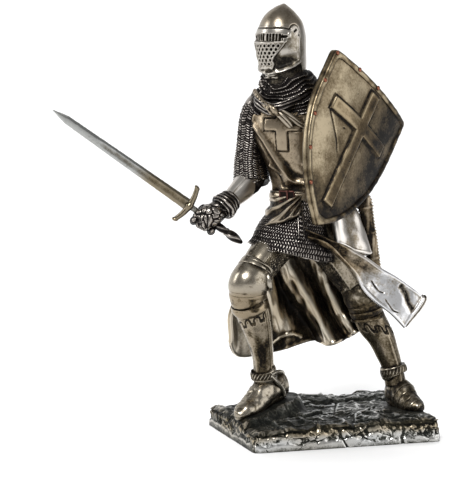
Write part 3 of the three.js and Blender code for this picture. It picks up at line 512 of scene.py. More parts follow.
def metal(name, light, middle, dark, sheen, wash_and_shade, blotch, bronze=None, grain=0.2):
    """Cast metal with an antique wash and painted shade in its hollows and crevices, and bare metal on its
    edges.
    """
    material, shader = new_material(name)
    nodes, links = material.node_tree.nodes, material.node_tree.links

    def add(kind, **values):
        made = nodes.new(kind)
        for key, value in values.items():
            if hasattr(made, key):
                setattr(made, key, value)
            else:
                made.inputs[key.replace("_", " ")].default_value = value
        return made

    def combine(operation, a, b, clamp=False):
        made = add("ShaderNodeMath", operation=operation, use_clamp=clamp)
        for n, value in enumerate((a, b)):
            if isinstance(value, (int, float)):
                made.inputs[n].default_value = value
            else:
                links.new(value, made.inputs[n])
        return made.outputs[0]

    place = add("ShaderNodeTexCoord").outputs["Object"]

    def texture(scale, detail, roughness=0.6):
        made = add("ShaderNodeTexNoise", Scale=scale, Detail=detail, Roughness=roughness)
        links.new(place, made.inputs["Vector"])
        return made.outputs["Fac"]

    def mapped(value, socket, **values):
        made = add("ShaderNodeMapRange", **values)
        links.new(value, made.inputs["Value"])
        links.new(made.outputs["Result"], shader.inputs[socket])

    wear_and_shade, tint_and_shade = (
        add("ShaderNodeAttribute", attribute_name=label).outputs["Fac"] for label in ("wear_and_shade", "tint_and_shade")
    )
    # ambient occlusion darkens the colour in crevices and between parts: antique wash and painted shade
    open_sky = add("ShaderNodeAmbientOcclusion", samples=8, Distance=5 * MM).outputs["AO"]
    fine = texture(900, 4, 0.7)
    crevice_wash_and_shade, hollow, blotches, specks = (
        combine("MULTIPLY", combine("SUBTRACT", a, b), factor)
        for a, b, factor in (
            (1.0, open_sky, 1.35 * wash_and_shade),
            (0.5, wear_and_shade, 1.5 * wash_and_shade),
            (texture(150, 3), 0.5, blotch * 1.6),
            (fine, 0.55, blotch * 1.6),
        )
    )
    washed_and_shaded = combine("MINIMUM", combine("ADD", crevice_wash_and_shade, hollow), 0.74)
    soiled_and_shaded = combine("ADD", washed_and_shaded, combine("ADD", blotches, specks))
    soiled_and_shaded = combine("ADD", soiled_and_shaded, 0.12, clamp=True)

    ramp = add("ShaderNodeValToRGB")
    links.new(soiled_and_shaded, ramp.inputs["Fac"])
    steps = ramp.color_ramp.elements
    steps.new(0.38)
    for step, position, tone in zip(steps, (0.0, 0.38, 0.85), (light, middle, dark)):
        step.position, step.color = position, (*tone, 1)
    colour = ramp.outputs["Color"]
    if bronze:
        mix = add("ShaderNodeMix", data_type="RGBA", blend_type="MULTIPLY")
        links.new(tint_and_shade, mix.inputs["Factor"])
        links.new(colour, mix.inputs["A"])
        mix.inputs["B"].default_value = (*bronze, 1)
        colour = mix.outputs["Result"]
    links.new(colour, shader.inputs["Base Color"])
    mapped(soiled_and_shaded, "Roughness", To_Min=sheen[0], To_Max=sheen[1])
    mapped(soiled_and_shaded, "Metallic", From_Min=0.5, To_Min=1.0, To_Max=0.12)
    shader.inputs["Specular IOR Level"].default_value = 0.12

    bump = add("ShaderNodeBump", Strength=grain, Distance=0.15 * MM)
    links.new(combine("ADD", fine, combine("MULTIPLY", texture(320, 3), 1.6)), bump.inputs["Height"])
    links.new(bump.outputs["Normal"], shader.inputs["Normal"])
    return material


# darkest colour, of the antique wash and of painted shade
BLACK_WASH_AND_SHADE = (0.006, 0.0045, 0.0035)
BRONZE = (0.60, 0.50, 0.36)

# light, middle and dark colour, sheen from clean to soiled and shaded, antique wash and painted shade in
# hollows, blotches, bronze and grain
LOOKS = {
    "polished_plate": ((0.45, 0.42, 0.375), (0.18, 0.155, 0.115), BLACK_WASH_AND_SHADE, (0.28, 0.45), 1.2, 0.5, BRONZE, 0.08),
    "dark_mail": ((0.34, 0.31, 0.28), (0.05, 0.042, 0.036), (0.004, 0.003, 0.003), (0.25, 0.5), 1.4, 0.4),
    "leg_plate": ((0.38, 0.35, 0.295), (0.14, 0.12, 0.085), BLACK_WASH_AND_SHADE, (0.27, 0.45), 1.2, 0.9, BRONZE, 0.12),
    "warm_copper": ((0.25, 0.095, 0.058), (0.12, 0.045, 0.03), BLACK_WASH_AND_SHADE, (0.3, 0.5), 0.9, 0.4),
    "red_brown": ((0.11, 0.048, 0.04), (0.05, 0.022, 0.018), BLACK_WASH_AND_SHADE, (0.3, 0.5), 1.0, 0.4),
    "draped_metal": ((0.40, 0.355, 0.29), (0.19, 0.155, 0.11), BLACK_WASH_AND_SHADE, (0.3, 0.5), 1.2, 0.6, BRONZE, 0.12),
    "coat_metal": ((0.62, 0.57, 0.48), (0.16, 0.13, 0.09), BLACK_WASH_AND_SHADE, (0.3, 0.5), 0.8, 0.4, BRONZE, 0.15),
    "bright_cloth": ((0.80, 0.80, 0.81), (0.36, 0.32, 0.26), BLACK_WASH_AND_SHADE, (0.3, 0.45), 0.9, 0.6, BRONZE, 0.12),
    "shield_bronze": ((0.36, 0.315, 0.23), (0.15, 0.12, 0.078), BLACK_WASH_AND_SHADE, (0.3, 0.5), 1.0, 0.5, BRONZE, 0.12),
    "blade_steel": ((0.36, 0.365, 0.355), (0.17, 0.16, 0.135), BLACK_WASH_AND_SHADE, (0.22, 0.4), 0.8, 0.5, BRONZE, 0.1),
    "silvered_rock": (
        (0.60, 0.61, 0.61), (0.13, 0.135, 0.12), (0.008, 0.009, 0.008), (0.28, 0.5), 1.1, 0.7, BRONZE, 0.3
    ),
}
METALS = {name: metal(name, *look) for name, look in LOOKS.items()}


# Helmet: a pointed skull and a pivoted visor with sights and breaths

HELMET_ROWS = [
    [-20.2, -1, 175, 10.7, 11.5], [-21.2, -1.6, 183, 12, 12.9], [-22.3, -2, 192, 12.8, 13.7],
    [-22.3, -2, 200, 12.4, 13.3], [-21.9, -1.7, 207, 10.1, 10.9], [-21.4, -1.3, 212, 5.6, 6.1],
    [-21, -1, 215.2, 0.7, 0.7],
]
HELMET_ARC = 0.23  # millimetres of the helmet's skin for each degree round it
VISOR_FRONT = 99  # degrees; the visor looks a little aside
PIVOT = (72, 201.0)  # degrees from the visor's front, and height
CHEEK = (38, 184.4)
CHEEK_SIZE = (8.4, 5.4)
BROW = 202
SIGHT_STEP = 7.4
SIGHT_LEVEL = 197.9
BREATH_STEP = 2.45
BREATH_RISE = 1.85
BREATH_TOP = 193.2
BREATH_ROWS = 6
# half width of the visor's front panel in degrees, by height
BEVEL_HEIGHTS = (181.4, 183.5, 185.5, 187.5, 189.8, 192, 194.2, 196.6)
BEVEL_TURNS = (12, 17, 15, 20, 29, 37, 44, 51)


def helmet_relief(spot):
    p = spot.points
    z = p[..., 2]
    turn = aside(VISOR_FRONT, spot.angle)  # to the viewer's right
    from_front = np.abs(turn)
    x = from_front * HELMET_ARC
    # visor plate: up to the brow, back over the ear, down to the chin
    brow = BROW - 0.6 * hill(from_front, 56, 7) - 3.5 * ease(72, 80, from_front)
    rim = np.interp(from_front, [0, 33, 60, 82], [178.6, 179.8, 181.9, 184.8])
    from_pivot = x - PIVOT[0] * HELMET_ARC, z - PIVOT[1]
    plate = np.minimum.reduce([brow - z, z - rim, (84 - from_front) * HELMET_ARC])
    plate = np.maximum(plate, 2.9 - np.hypot(*from_pivot))
    depth = 0.65 * ease(-0.2, 0.25, plate) - 0.4 * hill(plate, -0.35, 0.3)
    # front panel between two bevelled edges
    edge = np.interp(z, BEVEL_HEIGHTS, BEVEL_TURNS) + 15 * ease(191, 187, z) * (turn < 0)
    inside = (edge - from_front) * HELMET_ARC
    below_sights = ease(195.6, 194.6, z) * ease(180.9, 181.6, z)
    depth += below_sights * (0.3 * ease(-0.3, 0.2, inside) + 0.55 * hill(inside, -0.1, 0.4))
    # hollow cheek
    leaf = 1 - ((from_front - CHEEK[0]) * HELMET_ARC / CHEEK_SIZE[0]) ** 2
    leaf -= ((z - CHEEK[1] - 0.05 * from_front) / CHEEK_SIZE[1]) ** 2
    cheek = ease(-0.5, 1.1, leaf) * ease(0.2, -0.6, inside) * ease(rim + 0.4, rim + 2.6, z)
    depth -= 2.4 * cheek * ease(192, 184, z)
    depth += 0.8 * hill(z, 194.8 + 0.012 * from_front, 0.45) * ease(52, 44, from_front)
    # sights
    band = ease(43, 38, from_front) * ease(195.4, 195.8, z) * ease(199.5, 199.1, z)
    slot = np.abs((from_front - 5.6) % SIGHT_STEP)
    slot = np.minimum(slot, SIGHT_STEP - slot) * HELMET_ARC
    slit = ease(0.66, 0.42, slot) * band * ease(2.2, 3.4, from_front)
    taper = ease(55, 45, from_front) * ease(36, 40, from_front)
    slit = np.maximum(slit, taper * ease(0.8, 0.3, np.abs(z - SIGHT_LEVEL)))
    depth = depth - 0.25 * band - 2.0 * slit + 0.5 * hill(from_front, 57, 4) * hill(z, 199, 1.2)
    # breaths: round holes with a raised lip, in staggered rows
    row = np.round((BREATH_TOP - z) / BREATH_RISE)
    off = 0.5 * (row % 2)
    column = np.round(turn * HELMET_ARC / BREATH_STEP - off) + off
    away = np.hypot(turn * HELMET_ARC - column * BREATH_STEP, z - BREATH_TOP + row * BREATH_RISE)
    panel = ease(0.8, 1.3, inside) * (row >= 0) * (row < BREATH_ROWS)
    hole = ease(0.72, 0.50, away) * panel
    depth = depth + 0.32 * hill(away, 0.95, 0.22) * panel - 1.3 * hole
    # bevor with a rolled rim and a curled chin
    depth += 0.95 * hill(z, rim + 0.1, 0.8) * ease(90, 80, from_front)
    depth -= 0.5 * hill(z, rim - 1.5, 0.5) * ease(80, 60, from_front)
    depth += 1.3 * ease(30, 6, from_front) * hill(z, 177.4, 1.3)
    curls = 0.5 * rough(p, 2.4, 9, 2) * ease(40, 20, from_front) * ease(184, 182, z)
    # pivot slot and the ridge down the cheek
    turned_x = from_pivot[0] * 0.8 + from_pivot[1] * 0.6
    turned_z = from_pivot[1] * 0.8 - from_pivot[0] * 0.6
    pivot_slot = ease(0.5, 0.3, np.abs(turned_z)) * ease(1.2, 0.9, np.abs(turned_x))
    ridge = np.interp(z, [178, 181, 184, 188, 199], [96, 92, 88, 86, 85])
    depth += 0.45 * hill((from_front - ridge) * HELMET_ARC, 0, 0.5) * ease(199, 196, z)
    depth = depth - 0.8 * pivot_slot + curls + 0.08 * rough(p, 9, 3)
    depth += 1.1 * ease(180, 175.5, z) * ease(95, 125, from_front)
    # dark in the holes, slits and pivot slot, and painted shade in the cheek, behind the cheek and under the
    # rim
    dark = 1.2 * np.maximum.reduce([hole, slit, pivot_slot])
    # painted shade in the hollow cheek, deepest low down
    fall = ease(189.6, 183.6, z + 0.06 * (from_front - CHEEK[0]))
    dark += 0.95 * ease(0.1, 0.8, cheek) * fall * (1 - 0.4 * ease(42, 58, from_front))
    # a slight darkening all over, and painted shade on the visor's side behind the cheek, below the brow
    dark = dark + 0.06 + 0.12 * ease(45, 60, from_front) * ease(84, 80, from_front) * ease(203, 200, z)
    dark += 0.2 * ease(0, 0.7, noise(p, 4, 14)) * ease(200, 186, z)
    # painted shade under the rim
    under = np.maximum(ease(rim - 0.8, rim - 2, z) * ease(16, 26, from_front), ease(177.2, 175.8, z))
    dark += 0.8 * under * ease(92, 80, from_front)
    return depth, dark, 0.65 * ease(201, 206, z)


def helmet():
    around = turns((-12, 192, 180), (192, 348, 34))
    return [limb(HELMET_ROWS, HELMET_AHEAD, 168, around, helmet_relief)]


def folds_round_neck(spot):
    """Mail draped in folds that hang lowest a little to the figure's right of its front."""
    p = spot.points
    from_low = aside(spot.angle, 75)
    steep = np.where(from_low > 0, 0.12, 0.27)
    rise = np.minimum(steep * (np.sqrt(from_low**2 + 144) - 12), 15)
    level = p[..., 2] - rise + 1.5 * noise(p, 8, 5) + 0.7 * noise(p, 3.6, 6)
    place = level / 2.3 + 0.3 * noise(p, 11, 8)
    swell = 0.25 + 0.75 * scatter(np.floor(place), 7 + 0 * place, 1) * (0.75 + 0.5 * noise(p, 6, 11))
    ridge = crests(place) ** 1.5 * swell
    folds = ease(179.6, 177, p[..., 2])
    count = round(float(np.median(spot.girth)) / LINK)
    links = mail(spot.around / spot.girth * count, level / 1.15)
    depth = folds * (2.3 * ridge - 0.9) + 0.4 * links * (0.3 + 0.7 * ridge)
    return depth, 0.72 - folds * ridge * (0.05 + 1.25 * links) - 0.2 * links, 0


def neck():
    def sway(t, angle):
        return 0.8 * np.sin(np.radians(angle * 2) + t * 9) * np.sin(math.pi * t)

    cowl = limb([
        [-21.6, -1.2, 182, 9.6, 11], [-20.6, -1, 177, 12.4, 12.4], [-18.8, -0.6, 171.5, 16.6, 14],
        [-18.8, 0, 166, 19.6, 14.6], [-18.4, 0.4, 160.5, 21.6, 14.8], [-18.4, 0.4, 157, 20.6, 13.6],
    ], CHEST_AHEAD, 105, 270, folds_round_neck, sway)

    def strands(spot):
        place = spot.angle / 36 + spot.run * 0.035 + 0.5 * noise(spot.points, 7, 3)
        strand = crests(place) ** 1.3 * (0.5 + 0.5 * scatter(np.floor(place) % 10, 0 * place, 4))
        return 1.1 * strand - 0.4 + 0.12 * rough(spot.points, 2, 5, 2), 0.6 - 0.65 * strand, 0.6

    scarf = limb([
        [-33, 2, 166, 2, 3], [-34, -8, 163.6, 2.6, 3.6], [-26.6, -14, 160, 3, 4],
        [-18, -13.2, 162.6, 2.8, 3.8], [-8.6, -8.4, 168.5, 2.6, 3.6], [-3.6, -1, 172, 2, 3],
    ], [-0.2, -0.7, 0.7], 100, 56, strands)

    def strip_edges(spot):
        side = np.abs(np.sin(np.radians(spot.angle)))
        dots = hill((spot.run / 2.6) % 1, 0.5, 0.16) * ease(0.6, 0.9, side)
        return 0.2 * hill(side, 0.3, 0.15) - 0.3 * dots, 0.5 * dots + 0.12, 0.5

    sash = limb([
        [-36.6, -2.5, 170, 1, 0.7], [-35, -8, 167.4, 1.3, 0.9], [-32.2, -13.4, 163.8, 1.4, 0.9],
        [-28.6, -17.4, 160.4, 1.3, 0.9],
    ], CHEST_AHEAD, 50, 24, strip_edges)

    def knot_folds(spot):
        wave = np.sin(np.radians(spot.angle * 3) + spot.t * 5)
        return 0.4 * wave, 0.35 - 0.35 * wave, 0.5

    knot = limb([
        [-29.6, -15.2, 162.2, 1.1, 1.1], [-27, -17, 160.2, 2.5, 2.3], [-25, -17, 158.8, 2.1, 2],
        [-23.4, -15.8, 157.8, 1.1, 1.1],
    ], CHEST_AHEAD, 36, 30, knot_folds)

    def tail_groove(spot):
        groove = hill(spot.angle % 360, 90, 16) * ease(0.95, 0.8, spot.t)
        return -0.35 * groove, 0.5 * groove, 0.15

    tails = [
        [[-26, -16.4, 159.6, 1.3, 1.1], [-22.4, -17.6, 156.6, 1.8, 1.2], [-19.2, -17.2, 153.4, 2, 1.2],
         [-17.6, -16.8, 151.6, 1.6, 1.1], [-16.8, -16.6, 150.9, 0.5, 0.5]],
        [[-24, -16.2, 160.2, 1.2, 1], [-18.4, -16.8, 156.8, 1.7, 1.1], [-13, -15.8, 153.2, 1.8, 1.1],
         [-9.6, -14.8, 151.2, 1.4, 0.9], [-8.6, -14.6, 150.9, 0.5, 0.4]],
    ]
    strips = [limb(rows, CHEST_AHEAD, 40, 24, tail_groove) for rows in tails]
    return [cowl, scarf], [sash, knot, *strips]


# Torso

CHEST_CROSS = np.array([-22.3, -13.4, 152.3])
BAR_HALF = 3.1
BAR_SIDE, BAR_HEAD, BAR_FOOT = 10, 8, 13.6  # from the middle of that cross
LONG_FOLD = [
    [-37, -1, 153], [-34.6, -4.5, 149.3], [-32.6, -7, 146], [-30.5, -8, 142.6], [-27.9, -8.8, 138],
    [-25.2, -9.4, 133.7], [-21.6, -10.2, 128.5], [-17.9, -10, 123.4], [-13, -10.2, 122], [-7, -9.6, 122.5],
]
ARMHOLE = [[-37.4, -1, 162], [-37.2, -2.6, 159], [-37, -2, 156], [-37, -1, 152.6]]
WAIST_FOLDS = [
    [[-28, -2, 124], [-25, -7, 121.4], [-19, -10.6, 120.4], [-11, -11, 121], [-3, -8, 122]],
    [[-27.6, -1, 120.8], [-24, -7, 119.2], [-18, -10.6, 118.7], [-8, -11, 119.2], [0, -6, 120]],
    [[-29, -3, 131], [-26, -7, 128], [-22, -9.8, 125.6]],
    [[-12, -12.4, 132], [-7, -11.4, 130], [-2, -9, 130.6]],
]


def torso():
    def pleats(t, angle):
        waist = ease(0.35, 0.75, t) * (1 - ease(0.75, 0.95, t))
        return 0.8 * waist * np.sin(np.radians(angle * 6))

    def surcoat_relief(spot):
        p = spot.points
        x = (p - CHEST_CROSS) @ CHEST_ACROSS
        y = p[..., 2] - CHEST_CROSS[2]
        arms = np.minimum(BAR_SIDE - np.abs(x), BAR_HALF - np.abs(y))
        shaft = np.minimum.reduce([BAR_HALF - np.abs(x), y + BAR_FOOT, BAR_HEAD - y])
        inside = np.maximum(arms, shaft)
        front = ease(0.1, 0.5, ((p - [-16, 0, 0]) * [1, 1, 0]) @ CHEST_AHEAD / 12)
        depth = front * (0.45 * ease(-0.15, 0.3, inside) - 0.45 * hill(inside, -0.35, 0.35))
        fold, share = near(p, LONG_FOLD)
        depth += 1.6 * hill(fold, 0, 1.6) * ease(0, 0.06, share)
        below = np.asarray(LONG_FOLD) + [-2.8, 2, -3]
        beside = np.asarray(LONG_FOLD[3:]) + [2, -0.6, 3]
        for path, width, height in ((below, 1.6, -1.0), (beside, 1.6, -0.7), (ARMHOLE, 1.1, 0.9)):
            depth += crease(p, path, width, height)
        for path in WAIST_FOLDS:
            depth += crease(p, path, 0.9, 0.9)
        depth = depth + 0.35 * noise(p * [1, 1, 0.6], 8, 2) + 0.1 * rough(p, 3, 4)
        dark = 0.35 * front * hill(inside, -0.35, 0.35)
        dark = dark + crease(p, below, 1.3, 0.3) + crease(p, beside, 1.4, 0.15)
        dark += 0.15 * ease(0, 0.7, noise(p, 7, 12)) * ease(150, 128, p[..., 2])
        return depth, dark - 0.02, 0.6

    chest = limb([
        [-18.6, 0.6, 166, 16, 10.5], [-18.5, 0.6, 159.5, 19.6, 13], [-18.2, 0.2, 151.5, 20, 14.6],
        [-17.4, 0, 143.5, 18.2, 14], [-16.5, 0, 135.5, 15.4, 12.4], [-15.5, 0, 127.5, 13, 10.8],
        [-14.7, 0, 121, 11.9, 9.9], [-14.3, 0.2, 115.5, 12.2, 10.4], [-13.8, 1, 108, 14.6, 12.4],
        [-13.4, 2, 99, 17, 14],
    ], CHEST_AHEAD, 140, 190, surcoat_relief, pleats)

    def belt_relief(spot):
        ribs = waves(spot.around, 2.2) * ease(150, 190, spot.angle) * ease(300, 260, spot.angle)
        line = hill(spot.t, 0.27, 0.06) + hill(spot.t, 0.75, 0.06)
        middle = hill(spot.t, 0.5, 0.2)
        depth = 0.3 * middle - 0.45 * line + 0.25 * ribs * middle + 0.12 * rough(spot.points, 2.4, 3, 2)
        return depth, -0.15 + 0.4 * line, 0.4

    belt = limb([
        [-14.6, 0, 117.2, 12.4, 10.6], [-14.6, 0, 117, 13.6, 11.8], [-14.6, 0, 116, 13.9, 12.1],
        [-14.5, 0, 114.8, 13.9, 12.1], [-14.4, 0.1, 113.4, 13.9, 12.1], [-14.4, 0.1, 112.6, 13.7, 11.9],
        [-14.4, 0.1, 112.4, 12.6, 10.8],
    ], CHEST_AHEAD, 30, 130, belt_relief)

    def frame_relief(spot):
        rim = hill(np.minimum.reduce([spot.t, 1 - spot.t, spot.angle, 1 - spot.angle]), 0, 0.16)
        bar = hill(spot.angle, 0.5, 0.07)
        return 0.7 * rim + 0.6 * bar - 0.4, 0.8 * (1 - np.maximum(rim, bar)), 0

    buckle = sheet(ruled(
        [[-23.6, -11.4, 118], [-19.4, -13.4, 118], [-15.6, -13.8, 117.8]],
        [[-23.2, -11.2, 111.6], [-19, -13.2, 111.6], [-15.2, -13.6, 111.4]],
    ), 1.6, 30, 26, frame_relief)

    def studs(spot):
        place = (spot.around / 2.6) % 1 - 0.5
        stud = ease(0.3, 0.16, np.hypot((spot.t - 0.5) * 0.9, place))
        edge = hill(np.abs(spot.t - 0.5), 0.42, 0.08)
        return 0.5 * stud + 0.2 * edge - 0.15, 0.5 - 0.9 * stud - 0.4 * edge, 0

    strap = sheet(ruled(
        [[-15.6, -13, 113], [-14.6, -15.2, 107], [-14, -19.4, 97.5], [-14, -22.2, 93.6]],
        [[-12, -12.6, 112.8], [-11.1, -14.6, 106.8], [-10.6, -18.8, 97.3], [-10.6, -21.8, 93.4]],
    ), 1.3, 90, 16, studs)
    return [chest, belt], [strap], [buckle]


# Below the belt


def mail_skirt():
    def push(t, angle):
        thigh = np.maximum(0, np.cos(np.radians(angle - 68)))
        return 8.2 * t**1.5 * thigh**4 - 3.2 * ease(0.6, 1, t) * hill(aside(angle, 0), 20, 28)

    def relief(spot):
        p = spot.points
        hem = ease(spot.run.max() - 1.1, spot.run.max() - 0.7, spot.run)
        folds = 0.7 * np.sin(np.radians(spot.angle * 7) + 2 * spot.t) * spot.t
        links = spot.links(uneven=0.35, warp=0.12)
        patch = ease(-0.5, 0.6, noise(p, 9, 4))
        depth = folds + (1 - hem) * 0.6 * links + 0.6 * hem
        return depth, (0.8 - (0.7 + 0.5 * patch) * links**1.4) * (1 - hem) - 0.25 * hem, 0

    return limb([
        [-14, 0.6, 115, 10.6, 9.2], [-13.8, 0.4, 108.5, 14, 12.4], [-14.2, 0, 101, 16.8, 15.2],
        [-15.4, -0.6, 93.5, 19.8, 16.6], [-16.2, -1, 88, 22.2, 17], [-17, -1, 84.4, 23.2, 16.6],
    ], [-0.29, -0.956, -0.12], 110, turns((-30, 205, 296), (205, 330, 56)), relief, push)


def short_front():
    def radiate(s, t):
        return 0, -0.3 * t * np.sin(s * 12), 0

    def relief(spot):
        p = spot.points
        turn = np.arctan2(118 - p[..., 2], -9 - p[..., 0])
        ridge = (0.5 + 0.5 * np.sin(27 * turn + 1.2 * noise(p, 7, 6))) ** 1.6 * ease(0, 0.12, spot.t)
        hem = hill(spot.edge, 0.5, 0.35) * ease(0.5, 0.9, spot.t)
        depth = 1.6 * ridge - 0.6 + 0.35 * hem + 0.2 * noise(p, 3, 8)
        return depth, 0.5 - 0.7 * ridge - 0.5 * hem, 0.35

    return sheet(ruled(
        [[-11.8, -12.2, 115], [-18, -12.4, 115], [-23.2, -8.2, 115], [-25, -1, 115], [-22.6, 7, 115]],
        [[-12.6, -17.6, 105.6], [-21.6, -18.2, 101.8], [-29.6, -12.4, 98.6], [-31.6, 0, 97], [-29, 12, 94]],
        radiate,
    ), COAT_THICKNESS, 120, 46, relief, lambda spot: (0, 0, 0))


CURLED_HEM = [[-26, 0, 31], [-24, 0, 33.4], [-21, 0, 35.6], [-17.6, 0, 37], [-14, 0, 37.2], [-10.6, 0, 35.4]]


def long_back():
    def wave(s, times=1):
        return np.sin(times * (s * math.pi * 8.9 + 2.9))

    def lean(s, t):
        return s + 0.54 * (t - 0.5) * np.sin(math.pi * s)

    def fold(s, t):
        depth = 3.6 * ease(0.05, 0.7, t) * (0.04 + 0.96 * ease(0.1, 0.32, s))
        swell = 4.5 * ease(0.35, 0.75, t) * (1 - ease(0.75, 1, t)) * (1 - ease(0, 0.25, s))
        sharp = wave(s) + 0.22 * wave(s, 2)
        return sharp * depth * 0.25 - swell, sharp * depth, 0

    def relief(spot):
        p = spot.points
        valley = 0.5 + 0.5 * wave(spot.angle)
        smooth_left = ease(0.28, 0.12, spot.angle)
        folded = 1 - smooth_left
        wrinkles = 0.5 * noise(p * [1, 1, 0.16], 2.6, 6) * (1.1 - smooth_left)
        wrinkles += 0.4 * noise(p * [1, 1, 0.4], 5, 7)
        roll = hill(spot.edge, 1.0, 0.8) * ease(0.5, 0.9, spot.t) * folded
        # the fold valleys darker: antique wash and painted shade
        valley_wash_and_shade = valley + 0.12 * noise(p * [1, 1, 0.35], 3, 9)
        dark = 1.1 * ease(0.42, 0.74, valley_wash_and_shade) * folded - 0.2 * roll - 0.1
        # painted shade under the mail skirt, towards the top
        dark = dark + 0.75 * ease(0.42, 0.12, spot.t + 0.12 * noise(p, 6, 3)) - 0.15 * smooth_left
        # painted shade on the smooth lobe beside the right leg
        dark += 0.25 * ease(-47.5, -42.5, p[..., 0] + noise(p, 4, 31)) * smooth_left
        dark += (0.2 + 0.3 * ease(-0.2, 0.5, noise(p * [1, 1, 0.6], 3, 29))) * ease(0.6, 0.68, spot.angle)
        dark += 0.25 * ease(0.1, 0.7, noise(p * [1, 1, 0.5], 3, 23)) * folded
        # behind the right leg the hem turns under and shows a thin curled edge, with painted shade below it
        below = ease(42, 37, p[..., 2] + 0.12 * (p[..., 0] + 20) + noise(p, 4, 27))
        below = below * ease(-31, -28, p[..., 0]) * ease(-5, -9, p[..., 0])
        edge, share = near(p * [1, 0, 1], CURLED_HEM)
        curl = hill(edge, 0, 0.8) * ease(0, 0.12, share)
        dark = dark + 0.75 * below * (1 - curl) - 0.4 * curl
        tint_and_shade = 0.2 + 0.4 * ease(-0.3, 0.6, noise(p, 12, 19)) * folded
        return wrinkles + 0.9 * curl + 0.7 * roll, dark, tint_and_shade

    def behind(spot):
        p = spot.points
        crest = 0.5 + 0.5 * wave(spot.angle) + 0.25 * noise(p * [1, 1, 0.3], 4, 9)
        wrinkles = 0.5 * noise(p * [1, 1, 0.2], 3, 6) + 0.6 * hill(spot.edge, 1.0, 0.8)
        dark = 0.36 * ease(0.5, 0, crest) * ease(0, 0.3, spot.t)
        dark += 0.2 * ease(0, 0.6, noise(p * [1, 1, 0.3], 2.4, 21))
        return wrinkles, dark, 0.6

    return sheet(ruled(
        [[-28.2, 3, 104], [-27, 12, 104], [-19, 16.6, 104], [-8, 17, 104], [4, 14, 104], [9, 6, 104]],
        [[-49.4, 7, 34], [-44.4, 19, 24.6], [-26, 25, 26.2], [-6, 24, 32.2], [8, 20, 31.6], [23, 12, 41]],
        fold,
        lean,
    ), COAT_THICKNESS, 180, 84, behind, relief)


def hip_cloth():
    def sway(s, t):
        return 0.9 * t * np.sin(s * 14), 0, 0

    def relief(spot):
        wave = np.sin(spot.angle * 13 + 1.2 * spot.t + 0.6 * noise(spot.points, 8, 4))
        ridge = (0.5 + 0.5 * wave) ** 1.8 * ease(0, 0.3, spot.t)
        hem = hill(spot.edge, 0.6, 0.5)
        depth = 1.5 * ridge - 0.5 + 0.4 * hem + 0.15 * noise(spot.points, 4, 3)
        return depth, 0.15 - 0.6 * ridge - 0.2 * hem, 0.45

    return sheet(ruled(
        [[2, -10.6, 113], [8.6, -7.6, 112], [13.6, -0.8, 111], [15.4, 5, 110.6], [10, 11, 111]],
        [[6, -15.6, 90], [14.6, -13, 86.6], [22.6, -4.6, 83], [23.4, 7, 84], [13, 15, 90]],
        sway,
    ), COAT_THICKNESS, 84, 38, relief)


def flying_flap():
    def wind(s, t):
        return 0, -1.8 * np.sin(s * 6.4 + t * 2.2) * ease(0.05, 0.5, s), 0

    def relief(spot):
        p = spot.points
        face = p * [1, 0, 1]
        crack = crease(face, [[24.6, 0, 71], [26.6, 0, 67.8], [28.8, 0, 65.4], [31.6, 0, 64.4]], 0.35, 0.7)
        crack += crease(face, [[31.6, 0, 61.6], [34, 0, 58.2], [36.2, 0, 55.4], [39, 0, 54]], 0.35, 0.7)
        hollow = crease(face, [[39.6, 0, 69], [42.6, 0, 64.4], [44.6, 0, 59], [48, 0, 53]], 1.8, 1.0)
        near_hip = ease(0.6, 0.25, spot.angle + 0.12 * noise(p, 7, 3))
        folds = 0.8 * np.sin(spot.t * 8 + spot.angle * 3) * near_hip
        depth = folds + 0.45 * hill(spot.edge, 0.78, 0.65) - 0.7 * crack - 0.6 * hollow
        depth = depth + 0.18 * noise(p, 6, 2) + 0.05 * rough(p, 2, 6)
        streaks = 0.3 * near_hip * noise(p * [0.5, 1, 0.5], 2, 8)
        return depth, 0.7 * crack + 0.4 * hollow + 0.5 * near_hip + streaks, 1.3 * near_hip

    flap = sheet(ruled(
        [[-11, -15.4, 98], [1, -15.8, 92], [10.4, -14.4, 89], [22, -14, 83], [29.4, -14.6, 77.7],
         [38.4, -15, 72.4], [48, -13.6, 65.4], [52.4, -11, 61.6]],
        [[-9, -17.4, 93], [0.6, -18.6, 89.4], [7.4, -18, 83], [16, -17, 73.6], [20, -17, 66.4],
         [26, -17.4, 60], [34.4, -17, 53.6], [42, -15, 45.6]],
        wind,
    ), FLAP_THICKNESS, 156, 56, relief)

    def curl(spot):
        # painted shade in the groove inside the curled hem, and darker towards its upper end
        groove = hill(spot.angle, 120, 30)
        return -0.5 * groove, 0.7 * groove + 0.6 * ease(0.3, 0.05, spot.t), 0.2

    hem = limb([
        [52.4, -11, 62.4, 1, 1], [52.6, -12.6, 60.4, 2, 2], [50, -14, 56, 1.9, 1.9], [46, -15, 51, 1.6, 1.6],
        [42.6, -15, 46.4, 1.2, 1.2],
    ], TOWARDS_VIEWER, 60, 28, curl)
    return [flap, hem]


def scabbard():
    def bands(spot):
        edge = hill(np.abs(np.cos(np.radians(spot.angle))), 1, 0.1)
        beads = 0.5 + 0.5 * waves(spot.run, 1.7)
        band = hill(spot.run % 14, 7, 0.8)
        lines = noise(spot.points * [1, 1, 0.2], 1.6, 3)
        return edge * 0.8 * beads + 0.3 * band + 0.2 * lines, 0.4 - 0.4 * edge * beads - 0.3 * lines, 0.5

    return limb([
        [22, 5, 113, 1.4, 1.4], [22.4, 5, 111, 3.4, 2.2], [25, 6.4, 95, 3.2, 2.1], [27.6, 8.4, 80, 3, 2],
        [29.4, 10.6, 66, 2.6, 1.8], [30.2, 11.6, 60, 1, 1],
    ], TOWARDS_VIEWER, 120, 32, bands)


# Legs

ARCH_PITCH = 5.4
SHIN_ANGLES = turns((-10, 190, 112), (190, 350, 26))


